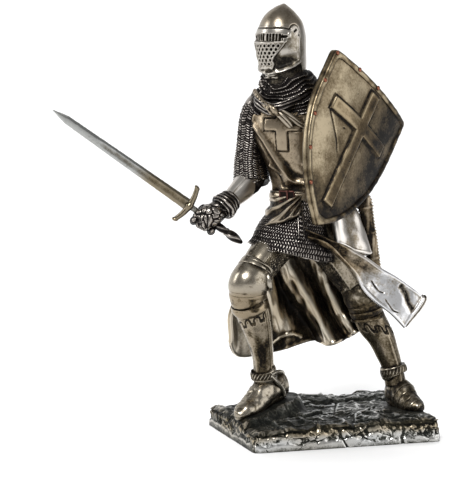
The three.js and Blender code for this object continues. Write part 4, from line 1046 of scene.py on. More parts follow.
def arches(across, up):
    """Engraved row of small round arches with curled feet, 0 to 1."""
    side = np.abs((across / ARCH_PITCH) % 1 - 0.5) * ARCH_PITCH
    ring = ease(0.55, 0.28, np.abs(np.hypot(side, np.maximum(up, 0)) - 1.6)) * ease(-2.2, -1.8, up)
    foot = ease(0.5, 0.25, np.abs(np.hypot(side - 2.1, up + 1.9) - 0.5))
    return np.maximum(ring, foot)


def greave_relief(centre, slope, shade, reflection_band):
    """Engraved arches round a point (u and height), rising to the viewer's right, over a smooth shin."""

    def relief(spot):
        p = spot.points
        from_front = aside(spot.angle, 90)
        away = np.abs(from_front)
        across = from_front / 360 * spot.girth
        up = p[..., 2] - centre[1] - slope * (p[..., 0] - centre[0])
        engraved = arches(across + 0.5 * noise(p, 5, 3), up + 0.5 * noise(p, 4, 6)) * ease(86, 76, away)
        ridge = 0.4 * hill(across, 0, 0.8) * ease(0.35, 0.6, spot.t)
        seams = hill(away, 96, 3)
        streak = ease(0, 0.7, noise(p * [1, 1, 0.12], 3.4, 8)) * ease(0.1, 0.4, spot.t)
        depth = -0.45 * engraved + ridge + 0.5 * hill(away, 89, 3) - 0.5 * seams
        dark = 0.7 * engraved + 0.5 * seams + 0.3 * streak + shade + 0.2 * ease(3.5, 0, np.abs(up))
        uneven = 1 + 0.6 * noise(p * [1, 1, 0.2], 3, 5)
        # painted reflection: a dark band down the shin, beside its front
        dark += reflection_band * uneven * hill(from_front, 36, 17) * ease(0.3, 0.5, spot.t)
        return depth + 0.07 * rough(p, 5, 2), dark, 0.6

    return relief


def strap_relief(spot):
    rim = hill(np.abs(spot.t - 0.5), 0.32, 0.08)
    dots = hill((spot.around / 2.0 + 2 * spot.t) % 1, 0.5, 0.2) * hill(spot.t, 0.5, 0.16)
    return 0.35 * rim + 0.45 * dots - 0.2, 0.75 - 0.8 * np.maximum(rim, dots), 0.3


def knee_relief(crease_height, shade=0.0):
    """Two bands, a dome over a lame, and darker plates below it."""

    def relief(spot):
        p = spot.points
        lower = ease(crease_height + 2.5, crease_height - 1.5, p[..., 2])
        blot = ease(-0.1, 0.7, noise(p, 4.5, 11)) + 0.4 * noise(p, 2, 4)
        return 0.1 * rough(p, 6, 1), shade + lower * (0.12 + 0.3 * blot) + 0.18 * blot, 0.3 + 0.5 * lower

    return relief


def fin_relief(spot):
    return 0.3 * np.cos(np.radians(spot.angle * 2)) * hill(spot.t, 0.5, 0.3), 0.1, 0


def foot_relief(lames, laces, shade=0.0):
    def relief(spot):
        p = spot.points
        step = (spot.run / 4.4 + 0.1 * noise(p, 5, 2)) % 1
        overlap = lames * (0.55 * step - 0.25) * ease(0.22, 0.36, spot.t)
        ticks = 0.5 + 0.5 * waves(spot.around, 1.3)
        tongue = laces * hill(spot.t, 0.44, 0.06) * ease(60, 30, np.abs(aside(spot.angle, 90)))
        buckle = laces * hill((spot.run / 2.6) % 1, 0.5, 0.2)
        buckle = buckle * hill(spot.angle % 360, 62, 20) * ease(0.3, 0.4, spot.t)
        bumps = (0.4 + 0.25 * laces) * noise(p, 3.4, 3) + 0.2 * noise(p, 1.7, 4)
        sole = hill(np.sin(np.radians(spot.angle)), -0.35, 0.12)
        depth = overlap + 0.4 * tongue * ticks + 0.45 * buckle + 0.6 * bumps - 0.45 * sole
        dark = shade + 0.4 * sole + 0.4 * lames * hill(step, 0.03, 0.09)
        dark = dark + 0.3 * tongue * (1 - ticks) - 0.4 * bumps
        return depth, dark, 0.3

    return relief


def right_leg():
    thigh = limb([
        [-17.5, 1, 97, 12, 12], [-25, -7, 89, 10.4, 10.8], [-32.6, -14.6, 80, 9.4, 10.2],
        [-37, -19, 73.4, 8.6, 9.2], [-39, -20.6, 68, 8.2, 8.4],
    ], RIGHT_FOOT_AHEAD, 90, 170, lambda spot: thigh_plate(spot, 1))
    knee = limb([
        [-34.6, -17, 79.2, 8.4, 8.8], [-34.9, -17.3, 78.6, 9.4, 9.8], [-35.2, -17.6, 77.9, 9.4, 9.8],
        [-35.6, -18, 77.4, 8.9, 9.3], [-35.9, -18.3, 76.9, 9.5, 9.9], [-36.2, -18.6, 76.2, 9.7, 10.1],
        [-36.5, -18.9, 75.8, 9.1, 9.5], [-37.6, -19.8, 74, 9.7, 10.4], [-38.9, -20.8, 71, 10.1, 11.5],
        [-39.8, -21.1, 68.4, 10, 11.5], [-40, -21, 66.2, 9.6, 10.8], [-40, -20.9, 65.8, 9.1, 10.2],
        [-40, -20.8, 65.2, 9.6, 10.7], [-39.9, -20.5, 63.6, 9.5, 10.5], [-39.6, -20.1, 61.4, 9.2, 10.1],
        [-39.3, -19.8, 60.2, 8.7, 9.6], [-39.2, -19.7, 59.7, 8.7, 9.6], [-39, -19.5, 59.1, 9.5, 10.2],
        [-38.8, -19.2, 57.6, 9.9, 10.3], [-38.7, -19, 56.8, 9.8, 10.2], [-38.6, -18.8, 56.4, 8.2, 8.6],
    ], RIGHT_FOOT_AHEAD, 112, 96, knee_relief(65.4, 0.05))
    fin = limb([
        [-31.4, -22.4, 71, 3.0, 3.2], [-29.6, -22.6, 71.4, 4.6, 4], [-28.6, -22.7, 71.6, 4.9, 4.2],
        [-28.1, -22.7, 71.7, 4.2, 3.6], [-27.9, -22.7, 71.7, 1.6, 1.4],
    ], RIGHT_FOOT_AHEAD, 26, 40, fin_relief)
    shin = limb([
        [-38.8, -19.4, 64, 8, 8.4], [-37.2, -18, 55, 9, 9.4], [-35, -15.4, 47, 7.8, 8.6],
        [-33.2, -12.8, 38, 6.4, 7], [-32, -10.6, 30, 5.6, 5.8], [-31.4, -9, 22, 5.4, 5.6],
        [-31, -8, 14, 5.6, 6],
    ], RIGHT_FOOT_AHEAD, 130, SHIN_ANGLES, greave_relief((-37.6, 50.6), 0.4, 0.06, 0.5))
    ankle = limb([
        [-31.6, -9.4, 22.6, 5.6, 5.8], [-31.5, -9.3, 22.2, 6.7, 7], [-31.4, -9, 20.2, 6.9, 7.3],
        [-31.2, -8.8, 18.2, 6.9, 7.3], [-31.2, -8.7, 17.8, 5.8, 6.2],
    ], RIGHT_FOOT_AHEAD, 22, 100, strap_relief)
    foot = limb([
        [-20, 3, 13, 2.6, 3.4], [-21.6, 1.4, 12.6, 5, 7], [-26, -3.6, 11.8, 6.2, 8.6],
        [-32, -10.4, 9, 6.6, 8], [-38, -17.4, 4.2, 6.8, 5.6], [-42.4, -22.4, 2, 5.6, 4.6],
        [-45.4, -25.6, 0.6, 2.8, 2.8], [-46.2, -26.4, 0.2, 0.8, 1],
    ], UP, 100, 76, foot_relief(0, 1, -0.12))
    straps = [
        limb([[*point, half, 0.7] for point, half in zip(path, (0.9, 1.1, 1.1, 0.9))], STRAP_AHEAD, 30, 16)
        for path in (
            ([-27.6, -14.6, 20], [-24.6, -12.2, 16.4], [-21.4, -8.6, 12], [-20, -6.6, 7.6]),
            ([-27.4, -14.4, 20.4], [-24, -10.4, 21.4], [-21.4, -5.6, 20.4], [-20.6, -1, 19]),
        )
    ]
    return [thigh, knee, fin, shin, ankle, foot, *straps]


def thigh_plate(spot, side, shade=0.0):
    """Plate over the front of the thigh and mail behind it; side is 1 where the inside lies right."""
    p = spot.points
    from_front = aside(spot.angle, 90)
    from_plate = np.abs(from_front + side * 12)
    mail_part = ease(62, 70, from_plate)
    edge = hill(from_plate, 66, 5)
    links = mail(spot.around / 1.3 + 0.4 * noise(p, 4, 2), spot.run / 1.7 + 0.3 * noise(p, 5, 3), 0.8)
    # random lengthwise streaks, and a painted reflection: a dark band down the plate beside its front
    streak = 0.6 * ease(0, 0.6, noise(p * [1, 1, 0.4], 6, 9)) + 1.2 * hill(from_front, 14, 7)
    depth = mail_part * (0.6 * links - 0.6) + 0.35 * edge + (1 - mail_part) * 0.06 * rough(p, 7, 4)
    return depth, shade + mail_part * (0.85 - 0.8 * links) + (1 - mail_part) * (0.2 * streak - 0.12), 0.4


def left_leg():
    thigh = limb([
        [-4, 4, 98, 13, 13], [4, 5.4, 88, 12.4, 12.6], [13, 6.6, 74, 10.4, 11], [19, 7, 64, 8.8, 9.2],
        [21.4, 7.2, 58, 8, 8.4],
    ], LEFT_FOOT_AHEAD, 76, 120, lambda spot: thigh_plate(spot, -1, 0.2))
    knee = limb([
        [17, 6.9, 68.8, 8.4, 8.8], [17.3, 6.9, 68.2, 9.2, 9.5], [17.7, 6.8, 67.4, 9.2, 9.5],
        [18, 6.7, 67, 8.8, 9.1], [18.3, 6.6, 66.6, 9.4, 9.7], [18.7, 6.4, 65.8, 9.4, 9.7],
        [19, 6.3, 65.3, 8.8, 9.1], [19.6, 6, 63.8, 9.2, 9.9], [21, 5.5, 60.4, 9.5, 11],
        [22.2, 5.6, 57.4, 9.2, 10.7], [22.4, 5.7, 56.8, 8.6, 9.8], [22.6, 5.8, 56.2, 9.1, 10.2],
        [23.1, 6.1, 54.2, 8.8, 9.6], [23.4, 6.2, 53.4, 8.2, 9], [23.6, 6.3, 52.7, 9, 9.6],
        [24.1, 6.5, 50.6, 8.6, 9.1], [24.3, 6.6, 50, 8.1, 8.6], [24.5, 6.7, 49.4, 8.9, 9.2],
        [24.9, 6.8, 47.6, 9.1, 9.3], [25, 6.8, 46.8, 7.8, 8],
    ], LEFT_FOOT_AHEAD, 100, 88, knee_relief(57, 0.42))
    fin = limb([
        [27.6, 2.6, 60.4, 3.2, 3], [29.4, 2.2, 60.1, 4.4, 3.8], [30.4, 2, 60, 4.6, 4],
        [31, 1.9, 59.9, 3.8, 3.2], [31.2, 1.8, 59.8, 1.4, 1.4],
    ], LEFT_FOOT_AHEAD, 24, 36, fin_relief)
    shin = limb([
        [22.4, 7, 56, 7.6, 8], [26.6, 7.2, 46, 8.2, 8.8], [31.6, 7.4, 38, 7.2, 8], [35.4, 7.6, 29, 6.2, 6.6],
        [38.2, 7.8, 21, 5.4, 5.8], [40.2, 7.8, 12, 5.6, 6],
    ], LEFT_FOOT_AHEAD, 112, SHIN_ANGLES, greave_relief((28, 43.4), -0.1, 0.18, 0))
    ankle = limb([
        [38.2, 7.7, 21.8, 5.6, 6], [38.3, 7.7, 21.4, 6.9, 7.3], [38.9, 7.7, 19.4, 7.1, 7.6],
        [39.4, 7.7, 17.6, 7.1, 7.7], [39.6, 7.7, 17.2, 6, 6.4],
    ], LEFT_FOOT_AHEAD, 22, 100, strap_relief)
    foot = limb([
        [37.4, 14.6, 5.4, 2.6, 3.4], [38.4, 13.4, 5.6, 5, 7], [40.6, 10, 6.2, 6.4, 9.2],
        [43.4, 5, 6, 6.6, 9], [46.2, -0.4, 3.4, 6.2, 6.8], [49.2, -5, 1.8, 5.6, 5],
        [51.6, -8.4, 1, 3.4, 3.4], [52.4, -9.4, 0.8, 1, 1.4],
    ], UP, 100, 76, foot_relief(0.35, 0, 0.38))
    return [thigh, knee, fin, shin, ankle, foot]


# Arms

GUARD_CENTRE = np.array([-70.6, -14.2, 109.9])
SWORD_AXIS = unit([-71.2, -2, 50.4])
SWORD_DEEP = unit(np.cross(SWORD_AXIS, [-0.57, 0.12, -0.81]))
SWORD_WIDE = np.cross(SWORD_DEEP, SWORD_AXIS)


def right_arm():
    ahead = [-0.6, -0.8, 0]

    def sleeve_relief(spot):
        p = spot.points
        end = ease(0.80, 0.84, spot.t)
        top = ease(163.6, 160, p[..., 2])
        links = spot.links(True, 0.6, 0.35) * top
        roll = 0.6 * waves(spot.run, 1.9)
        folds = 0.5 * np.cos(np.radians(spot.angle * 4) + spot.t * 6)
        depth = 0.66 * links * (1 - end * 0.6) + end * roll + folds * 0.5
        patch = ease(-0.5, 0.6, noise(p, 8, 5))
        return depth, 0.2 + top * (0.6 - (0.85 + 0.4 * patch) * links) + 0.35 * end - 0.35 * end * roll, 0

    sleeve = limb([
        [-28, 3.4, 163, 5, 6], [-33, 5, 161.4, 8, 9], [-36.4, 6, 156, 7, 8], [-37.8, 6.4, 149, 6.6, 7.2],
        [-38.8, 6.2, 140, 6.4, 7], [-38.6, 5.8, 132, 7.8, 8.2], [-38, 4.8, 123.6, 9, 9.2],
        [-37.8, 4.2, 120.8, 8.8, 9], [-38.2, 4.2, 122.6, 7, 7.4],
    ], ahead, 180, 150, sleeve_relief)

    def vambrace(spot):
        from_seam = np.abs(aside(spot.angle, 50))
        groove = hill(from_seam, 78, 3)
        streaks = noise(np.stack([spot.around, 0.15 * spot.run, 0 * spot.run], -1), 3.4, 2)
        depth = 0.3 * hill(from_seam, 70, 4) - 0.35 * groove
        return depth, 0.5 * groove + 0.8 * streaks - 0.6, 0.5

    forearm = limb([
        [-36, 6.4, 127, 7, 7], [-39.6, 2.6, 121.4, 7, 7], [-43.4, -1.4, 117.4, 6.4, 6.4],
        [-47.4, -5.2, 113.8, 5.4, 5.4], [-51, -8.6, 110.8, 4.8, 4.8], [-55, -11, 107.6, 4.6, 4.6],
    ], UP, 60, 80, vambrace)

    def rings(spot):
        place = spot.run / 2.3 + 0.35 * noise(spot.points, 4, 3)
        ring = (0.5 + 0.5 * waves(place)) ** 1.2 * (0.6 + 0.5 * noise(spot.points, 5, 9))
        within = ease(0.1, 0.25, spot.t) * ease(0.97, 0.88, spot.t)
        return (1.2 * ring - 0.4) * within, 0.5 - 0.6 * ring, 0

    cuff = limb([
        [-48.2, -6, 113, 4.8, 4.8], [-48.8, -6.6, 112.5, 5.8, 5.8], [-50.4, -8, 111.2, 6.2, 6.2],
        [-52, -9.4, 109.9, 6.9, 6.9], [-53.4, -10.6, 108.7, 7.2, 7.2], [-54, -11, 108.2, 5.4, 5.4],
    ], UP, 60, 84, rings)

    def scales(spot):
        p = spot.points
        gap = cells(spot.run + 0.7 * noise(p, 3, 2), spot.around + 0.7 * noise(p, 3, 8), 3.4)[-1]
        plate = ease(0, 0.9, gap)
        return 0.7 * plate - 0.4 + 0.7 * noise(p, 2.6, 1), 0.5 - 0.35 * plate - 0.25 * noise(p, 1.8, 5), 0

    palm = limb([
        [-53, -10.6, 108.6, 4.6, 4.6], [-56.6, -12.6, 106.4, 6, 5.6], [-61, -13.6, 104, 7, 6],
        [-65, -14.4, 101.6, 5.6, 5], [-67, -14.8, 100.4, 2.4, 2.4],
    ], UP, 56, 84, scales)
    return [sleeve], [forearm], [cuff, palm, *fingers(), hilt()]


def on_sword(distance):
    return GUARD_CENTRE * SHARE + SWORD_AXIS * np.asarray(distance)[..., None]


def fingers():
    """Four fingers closed round the grip, each of four overlapping plates."""
    made = []
    share = np.linspace(0, 1, 44)
    turn = np.radians(-150 + 210 * share)
    out = np.cos(turn)[:, None] * SWORD_WIDE + np.sin(turn)[:, None] * SWORD_DEEP
    angle = circle(20)
    spoke = out[:, None] * np.cos(angle)[None, :, None] + SWORD_AXIS * np.sin(angle)[None, :, None] * 0.9
    joint = share * 3.99 % 1
    end = np.sqrt(np.clip(1 - np.abs(2.04 * share - 1.02) ** 6, 0.1, 1))
    for finger in range(4):
        middle = on_sword((-FIRST_FINGER - finger * FINGER_STEP) * SHARE)
        lumps = 0.35 * (scatter(np.floor(share * 3.99), finger, 1) - 0.5)
        radius = (1.7 + 0.6 * joint + lumps) * end
        grid = middle + (out * (5 - finger * 0.25))[:, None] + spoke * radius[:, None, None]
        wear_and_shade = 0.05 + 0.5 * ease(0.45, 0.8, joint)[:, None] + 0.2 * np.sin(angle * 2 + finger)[None, :]
        made.append(capped(grid, wear_and_shade))
    return made


def hilt():
    """Lower grip and a grooved, leaf-shaped pommel."""
    distance, girth = along([
        [-15.6, 1.7], [-17, 2.3], [-20, 2.5], [-22.4, 2.4], [-23, 2.5], [-23.4, 3.0], [-24, 3.0],
        [-24.4, 2.7], [-26, 3.1], [-28.4, 3.1], [-31, 2.5], [-33.2, 1.5], [-34, 0.4],
    ], np.linspace(0, 1, 110)).T[..., None]
    grooves = 0.3 * np.cos(circle(40) * 4 + 0.7 * distance)
    grooves = grooves * ease(-16, -18, distance) * ease(-34, -32, distance)
    spoke = oval(SWORD_WIDE, SWORD_DEEP, 40, 0.75)
    grid = on_sword(distance * SHARE) + spoke * (girth + grooves)[..., None] * SHARE
    return capped(grid, 0.2 + 1.5 * grooves)


def left_arm():
    ahead = [0.7, -0.7, 0]

    def relief(spot):
        links = spot.links(True, 0.5, 0.3)
        return 0.6 * links, 0.9 - links, 0

    sleeve = limb([
        [-6, -3, 163, 6, 6], [0, -4, 161, 8.4, 8.4], [6, -2, 155, 7.4, 7.4], [14, 4, 147.6, 6.8, 6.8],
        [21, 9.6, 141, 7, 7], [25, 12.8, 137.6, 6, 6], [26.6, 14, 136.4, 3, 3],
    ], ahead, 84, 84, relief)
    forearm = limb([
        [25, 13.2, 137.4, 5.6, 5.6], [20, 7.4, 142.8, 6.4, 6.4], [14.6, 1, 148.6, 5.8, 5.8],
        [10.4, -3.6, 153, 4.8, 4.8], [7.4, -6.6, 156.4, 5.8, 5.6], [4.6, -9.4, 159.4, 5.4, 5.2],
        [3, -11, 161, 2.4, 2.4],
    ], ahead, 60, 60, lambda spot: (0.07 * rough(spot.points, 6, 1), 0, 0.15))
    return [sleeve], [forearm]


# Sword


def sword_ring(distance, wide, deep, count, sharp=1.0):
    angle = circle(count)
    x = np.sign(np.cos(angle)) * np.abs(np.cos(angle)) ** (1 / sharp)
    y = np.sign(np.sin(angle)) * np.abs(np.sin(angle)) ** sharp
    return on_sword(distance) + SWORD_WIDE * x[:, None] * wide + SWORD_DEEP * y[:, None] * deep


def sword():
    share = np.linspace(0, 1, 120)
    taper = np.interp(share, [0, 0.5, 0.9, 1], [0.5, 0.43, 0.35, 0.03])
    rings = []
    for place, half in zip(share, taper):
        nick = 0.06 * (scatter(np.floor(place * 60), 1, 2) - 0.5)
        size = BLADE_WIDTH * (half + nick * 0.3), BLADE_THICKNESS * half * 0.95
        rings.append(sword_ring(-0.5 + place * (BLADE_LENGTH + 0.5), *size, 32, 1.35))
    angle = circle(32)
    fuller = hill(np.abs(np.cos(angle)), 0, 0.3)[None, :] * ease(0.7, 0.6, share)[:, None]
    grid = np.array(rings) - SWORD_DEEP * np.sign(np.sin(angle))[:, None] * (0.3 * fuller)[..., None]
    brass = ease(0.25, 0.1, np.abs(share - 0.17))[:, None]
    blade = capped(grid, 0.62 - 0.35 * fuller + 0.2 * np.abs(np.cos(angle))[None] ** 8, brass)

    rings = []
    for distance in np.linspace(-TANG_LENGTH, 1, 60):
        radius = GRIP_RADIUS * (0.96 + 0.04 * math.cos(distance * 5))
        rings.append(sword_ring(distance, radius, radius, 24))
    grip = capped(np.array(rings), 0.3)

    place = np.linspace(-1, 1, 70)
    centre = on_sword(GUARD_DROOP * place**2) + SWORD_WIDE * (place * GUARD_SPAN / 2)[:, None]
    size = GUARD_THICKNESS / 2 * (1.3 - 0.3 * np.abs(place) + 0.28 * ease(0.82, 0.95, np.abs(place)))
    size = size * np.sqrt(np.clip(1 - np.abs(place) ** 30, 0.15, 1)) * (1 + 0.35 * hill(place, 0, 0.12))
    guard = centre[:, None] + oval(SWORD_AXIS, SWORD_DEEP, 24, 0.9) * size[:, None, None]
    return [blade, grip, capped(guard, 0.55, 1.0)]


# Shield

SHIELD_CENTRE = np.array([19.17, -8, 150.8]) * SHARE
SHIELD_TURN = math.radians(47.1)
SHIELD_LEAN = math.radians(-0.9)
SHIELD_ROLL = math.radians(34.5)
SHIELD_OUT = np.array([
    math.sin(SHIELD_TURN) * math.cos(SHIELD_LEAN),
    -math.cos(SHIELD_TURN) * math.cos(SHIELD_LEAN),
    math.sin(SHIELD_LEAN),
])
LEVEL = np.array([math.cos(SHIELD_TURN), math.sin(SHIELD_TURN), 0])
SHIELD_RIGHT = LEVEL * math.cos(SHIELD_ROLL) - np.cross(SHIELD_OUT, LEVEL) * math.sin(SHIELD_ROLL)
SHIELD_DOWN = np.cross(SHIELD_RIGHT, SHIELD_OUT)


def shield_half(depth):
    straight = SHIELD_HEIGHT * SHIELD_STRAIGHT
    half = SHIELD_WIDTH / 2
    radius = ((SHIELD_HEIGHT - straight) ** 2 + half**2) / (2 * half)
    below = np.maximum(depth - straight, 0)
    return np.maximum(np.sqrt(np.maximum(radius**2 - below**2, 0)) - (radius - half), 0)


def on_shield(across, depth, out):
    across, depth = np.asarray(across), np.asarray(depth)
    back = SHIELD_BULGE * (2 * across / SHIELD_WIDTH) ** 2
    point = SHIELD_CENTRE + SHIELD_RIGHT * across[..., None] + SHIELD_DOWN * (depth - CROSS_DROP)[..., None]
    return point + SHIELD_OUT * (out - back)[..., None]


def outline(inset, count=90):
    """Across and depth round the shield's outline, moved in by a width."""
    deepest = np.interp(inset, [0, 10], [SHIELD_HEIGHT, SHIELD_HEIGHT - 17])
    top = np.linspace(-1, 1, count // 2, endpoint=False)
    side = np.linspace(0, 1, count, endpoint=False)
    depths = inset + (deepest - inset) * side
    lean = np.gradient(shield_half(depths), depths)
    half = np.maximum(shield_half(depths) - inset * np.sqrt(1 + lean**2), 0)
    across = [top * half[0], half, [0.0], -half[1:][::-1]]
    depth = [np.full(len(top), inset), depths, [deepest], depths[1:][::-1]]
    line = np.stack([np.concatenate(across), np.concatenate(depth)])
    for _ in range(CORNER_SOFTNESS):
        line = line + ease(50, 25, line[1]) * (np.roll(line, 1, 1) + np.roll(line, -1, 1) - 2 * line) / 4
    return line


CROSS_BARS = (
    (-CROSS_ARM, CROSS_ARM, CROSS_DROP - CROSS_WIDTH / 2, CROSS_DROP + CROSS_WIDTH / 2),
    (-CROSS_WIDTH / 2, CROSS_WIDTH / 2, CROSS_DROP - CROSS_HEAD, CROSS_DROP + CROSS_FOOT),
)
RIVETS = ((-34.8, 2.2), (-34.8, 19.2), (-32.2, 37.9), (-26.4, 54.7), (-17.1, 69.9), (-18.1, 1.4), (-1, 1.4))


SHIELD_SCRATCH = [[-24.6, 29.5, 0], [-21.4, 32.4, 0], [-16.9, 36.7, 0], [-12, 41.6, 0], [-8, 47, 0]]
# how far in from the edge, how far out and how bright, from the back over the rim to the board
RIM_PROFILE = (
    (0.0, -SHIELD_THICKNESS, 0.36), (0.0, -2.0, 0.4), (0.0, -0.9, 0.46), (0.12, 0.1, 0.08), (0.45, 0.65, 0.5),
    (1.0, RIM_HEIGHT, 0.48), (1.7, RIM_HEIGHT + 0.12, 0.42), (2.4, RIM_HEIGHT, 0.52), (3.0, 0.62, 0.5),
    (3.3, 0.2, 0.25), (RIM_WIDTH, -0.8, -0.1), (RIM_WIDTH, -SHIELD_THICKNESS, 0.3),
)


def shield_face(across, depth):
    """Relief, darkness and tint of the shield's front between its rims."""
    inside = np.full(across.shape, -99.0)
    for left, right, top, bottom in CROSS_BARS:
        bar = np.minimum.reduce([across - left, right - across, depth - top, bottom - depth])
        inside = np.maximum(inside, bar)
    flat = np.stack([across, depth, 0 * across], -1)
    step = ease(-0.1, 0.7, inside)
    groove = hill(inside, -0.45, 0.4)
    crack = crease(flat, SHIELD_SCRATCH, 0.4, 1.0)
    pits = ease(0.78, 0.9, noise(flat, 2.1, 31)) * ease(0, 0.6, noise(flat, 14, 33))
    dents = 0.3 * noise(flat, 17, 4) + 0.14 * noise(flat, 6, 5)
    height = CROSS_HEIGHT * step - 0.3 * groove - 0.3 * crack - 0.3 * pits + dents
    dark = 0.4 * groove + 0.35 * crack + 0.6 * pits
    shade = 0.02 + 0.2 * ease(-22, 4, across) + 0.34 * ease(8, 24, across)
    shade = shade + 0.16 * ease(0, 0.8, noise(flat * [1, 0.4, 1], 9, 12)) + 0.25 * ease(58, 72, depth)
    # the cross takes painted shade like the board, darker towards the right
    on_cross = 0.28 * ease(-14, 4, across) + 0.25 * ease(6, 18, across) + 0.07
    dark = dark + shade * (1 - step) + step * on_cross
    # random mottling, and a painted reflection: a light streak near the right rim
    dark = dark + 0.1 * noise(flat * [0.7, 0.4, 1], 4, 16) - 0.35 * hill(across, 29, 3) * hill(depth, 20, 12)
    return height, dark, 0.4 + 0.25 * step


def shield():
    """The board, and the rim round it as a closed ring of its own."""
    s, t = np.meshgrid(np.linspace(-1, 1, 130), np.linspace(0, 1, 155))
    inset = RIM_WIDTH * 0.6
    depth = inset + (SHIELD_HEIGHT - 6 - inset) * t
    across = s * np.maximum(shield_half(depth) - inset, 0.2)
    height, dark, tint_and_shade = shield_face(across, depth)
    front, rear = on_shield(across, depth, height), on_shield(across, depth, 0.4 - SHIELD_THICKNESS)
    wear_and_shade = worn(front, grid_normals(front, False, SHIELD_OUT), False) - dark
    board = slab(front, rear, (wear_and_shade, np.full(wear_and_shade.shape, 0.45)), (tint_and_shade, tint_and_shade))
    rings, wears_and_shades = [], []
    for inward, out, bright in RIM_PROFILE:
        a, d = outline(inward, 150)
        lumps = 0.2 * noise(np.stack([a, d, 0 * a], -1), 3, 6)
        rings.append(on_shield(a, d, out + lumps))
        # painted shade on the rim, darker towards the right and the lower right
        wears_and_shades.append(bright + 1.6 * lumps - 0.35 * ease(4, 24, a) - 0.25 * ease(0, 16, a) * ease(8, 30, d))
    return [board, looped(np.stack(rings, 1), np.stack(wears_and_shades, 1), 0.5)]


def rivets():
    places = [on_shield(across, down, RIM_HEIGHT + 0.2) for across, down in RIVETS]
    return [ball(place, RIVET_RADIUS, SHIELD_OUT, 0.55) for place in places]


# Plinth

# two long cracks down the front, each a path and a width
CRACKS = (
    ([[-8, -41.2, 14], [-5.4, -41.2, 9.5], [-3.6, -41.2, 5], [-0.8, -41.2, 0]], 0.45),
    ([[30.4, -41.2, 14], [30.9, -41.2, 8], [29.8, -41.2, 3], [30.2, -41.2, 0]], 0.9),
)
# toe, heel and half width of the level ground under each foot
FEET = (
    (np.array([-46, -26.3, -0.8]) * SHARE, np.array([-18.6, 4.5, 6.6]) * SHARE, 7.2 * SHARE),
    (np.array([52.8, -10, 0]) * SHARE, np.array([37, 16, 0]) * SHARE, 7 * SHARE),
)


def stones(x, y):
    """Height of the stones, each a tilted slab of its own, and the distance to their joints."""
    i, j, dx, dy, joint = cells(x, y, SLAB_SIZE)
    lean = SLAB_STEP * 1.2 / SLAB_SIZE
    height = (scatter(i, j, 2) - 0.5) * SLAB_STEP
    return height + dx * (scatter(i, j, 3) - 0.5) * lean + dy * (scatter(i, j, 4) - 0.5) * lean, joint


def edge_share(x, y):
    """0 in the middle of the plinth and 1 on its sides."""
    return np.maximum(np.abs(x) / (PLINTH_LENGTH / 2), np.abs(y) / (PLINTH_DEPTH / 2))


def border(grid):
    """The outer row of a grid, once round."""
    return np.concatenate([grid[0, :-1], grid[:-1, -1], grid[-1, :0:-1], grid[:0:-1, 0]])


def plinth_top():
    """Cracked flags with a broken edge, level where the feet stand: a grid of points and its wear."""
    length, depth = PLINTH_LENGTH, PLINTH_DEPTH
    x, y = np.meshgrid(
        np.linspace(-0.5, 0.5, 180) * (length - 2 * EDGE_INSET),
        np.linspace(-0.5, 0.5, 142) * (depth - 2 * EDGE_INSET),
    )
    cos, sin = math.cos(FIGURE_TURN), math.sin(FIGURE_TURN)
    u, w = x * cos - y * sin, x * sin + y * cos
    edge = edge_share(x, y)
    slabs, joint = stones(x, y)
    fall = SLAB_STEP * (0.55 + 1.1 * x / length + 0.5 * y / depth)
    flat = np.stack([x, y, 0 * x], -1)
    rock = ridged(flat + 1.2 * noise(flat, 7, 3)[..., None], 10, 21)
    height = PLINTH_HEIGHT + slabs + fall - SLAB_STEP - 0.8 * hill(joint, 0, 0.9)
    height += 3.2 * (rock - 0.5) * (1 - 0.6 * ease(0.88, 1.0, edge))
    for toe, heel, half in FEET:
        run = (heel - toe)[:2]
        t = ((u - toe[0]) * run[0] + (w - toe[1]) * run[1]) / (run @ run)
        ground = PLINTH_HEIGHT + toe[2] + (heel - toe)[2] * t
        t = np.clip(t, 0.12, 0.88)
        away = np.hypot(u - toe[0] - run[0] * t, w - toe[1] - run[1] * t) - half
        height = ground + (height - ground) * ease(SOLE_MARGIN, SOLE_MARGIN + SLAB_SIZE * 0.3, away)
        height += 0.9 * (ridged(flat, 5, 33) - 0.55) * ease(-1, 1, away) * ease(8, 2, away)
    height -= ease(1 - EDGE_BAND, 1, edge) * (EDGE_CHIP + 0.7 * noise(flat, 7, 3) + 0.25 * noise(flat, 3, 9))
    top = np.stack([x, y, height], -1)
    wear_and_shade = worn(top, grid_normals(top, False, UP), False) - 0.3 * hill(joint, 0, 1.0) - 0.46
    wear_and_shade = wear_and_shade + 0.3 * ease(0.6, 0.9, rock) + 0.2 * noise(flat, 12, 7)
    return top, wear_and_shade + 0.45 * ease(0.9, 1, edge) * ease(-0.2, 0.5, noise(flat, 2.4, 11))


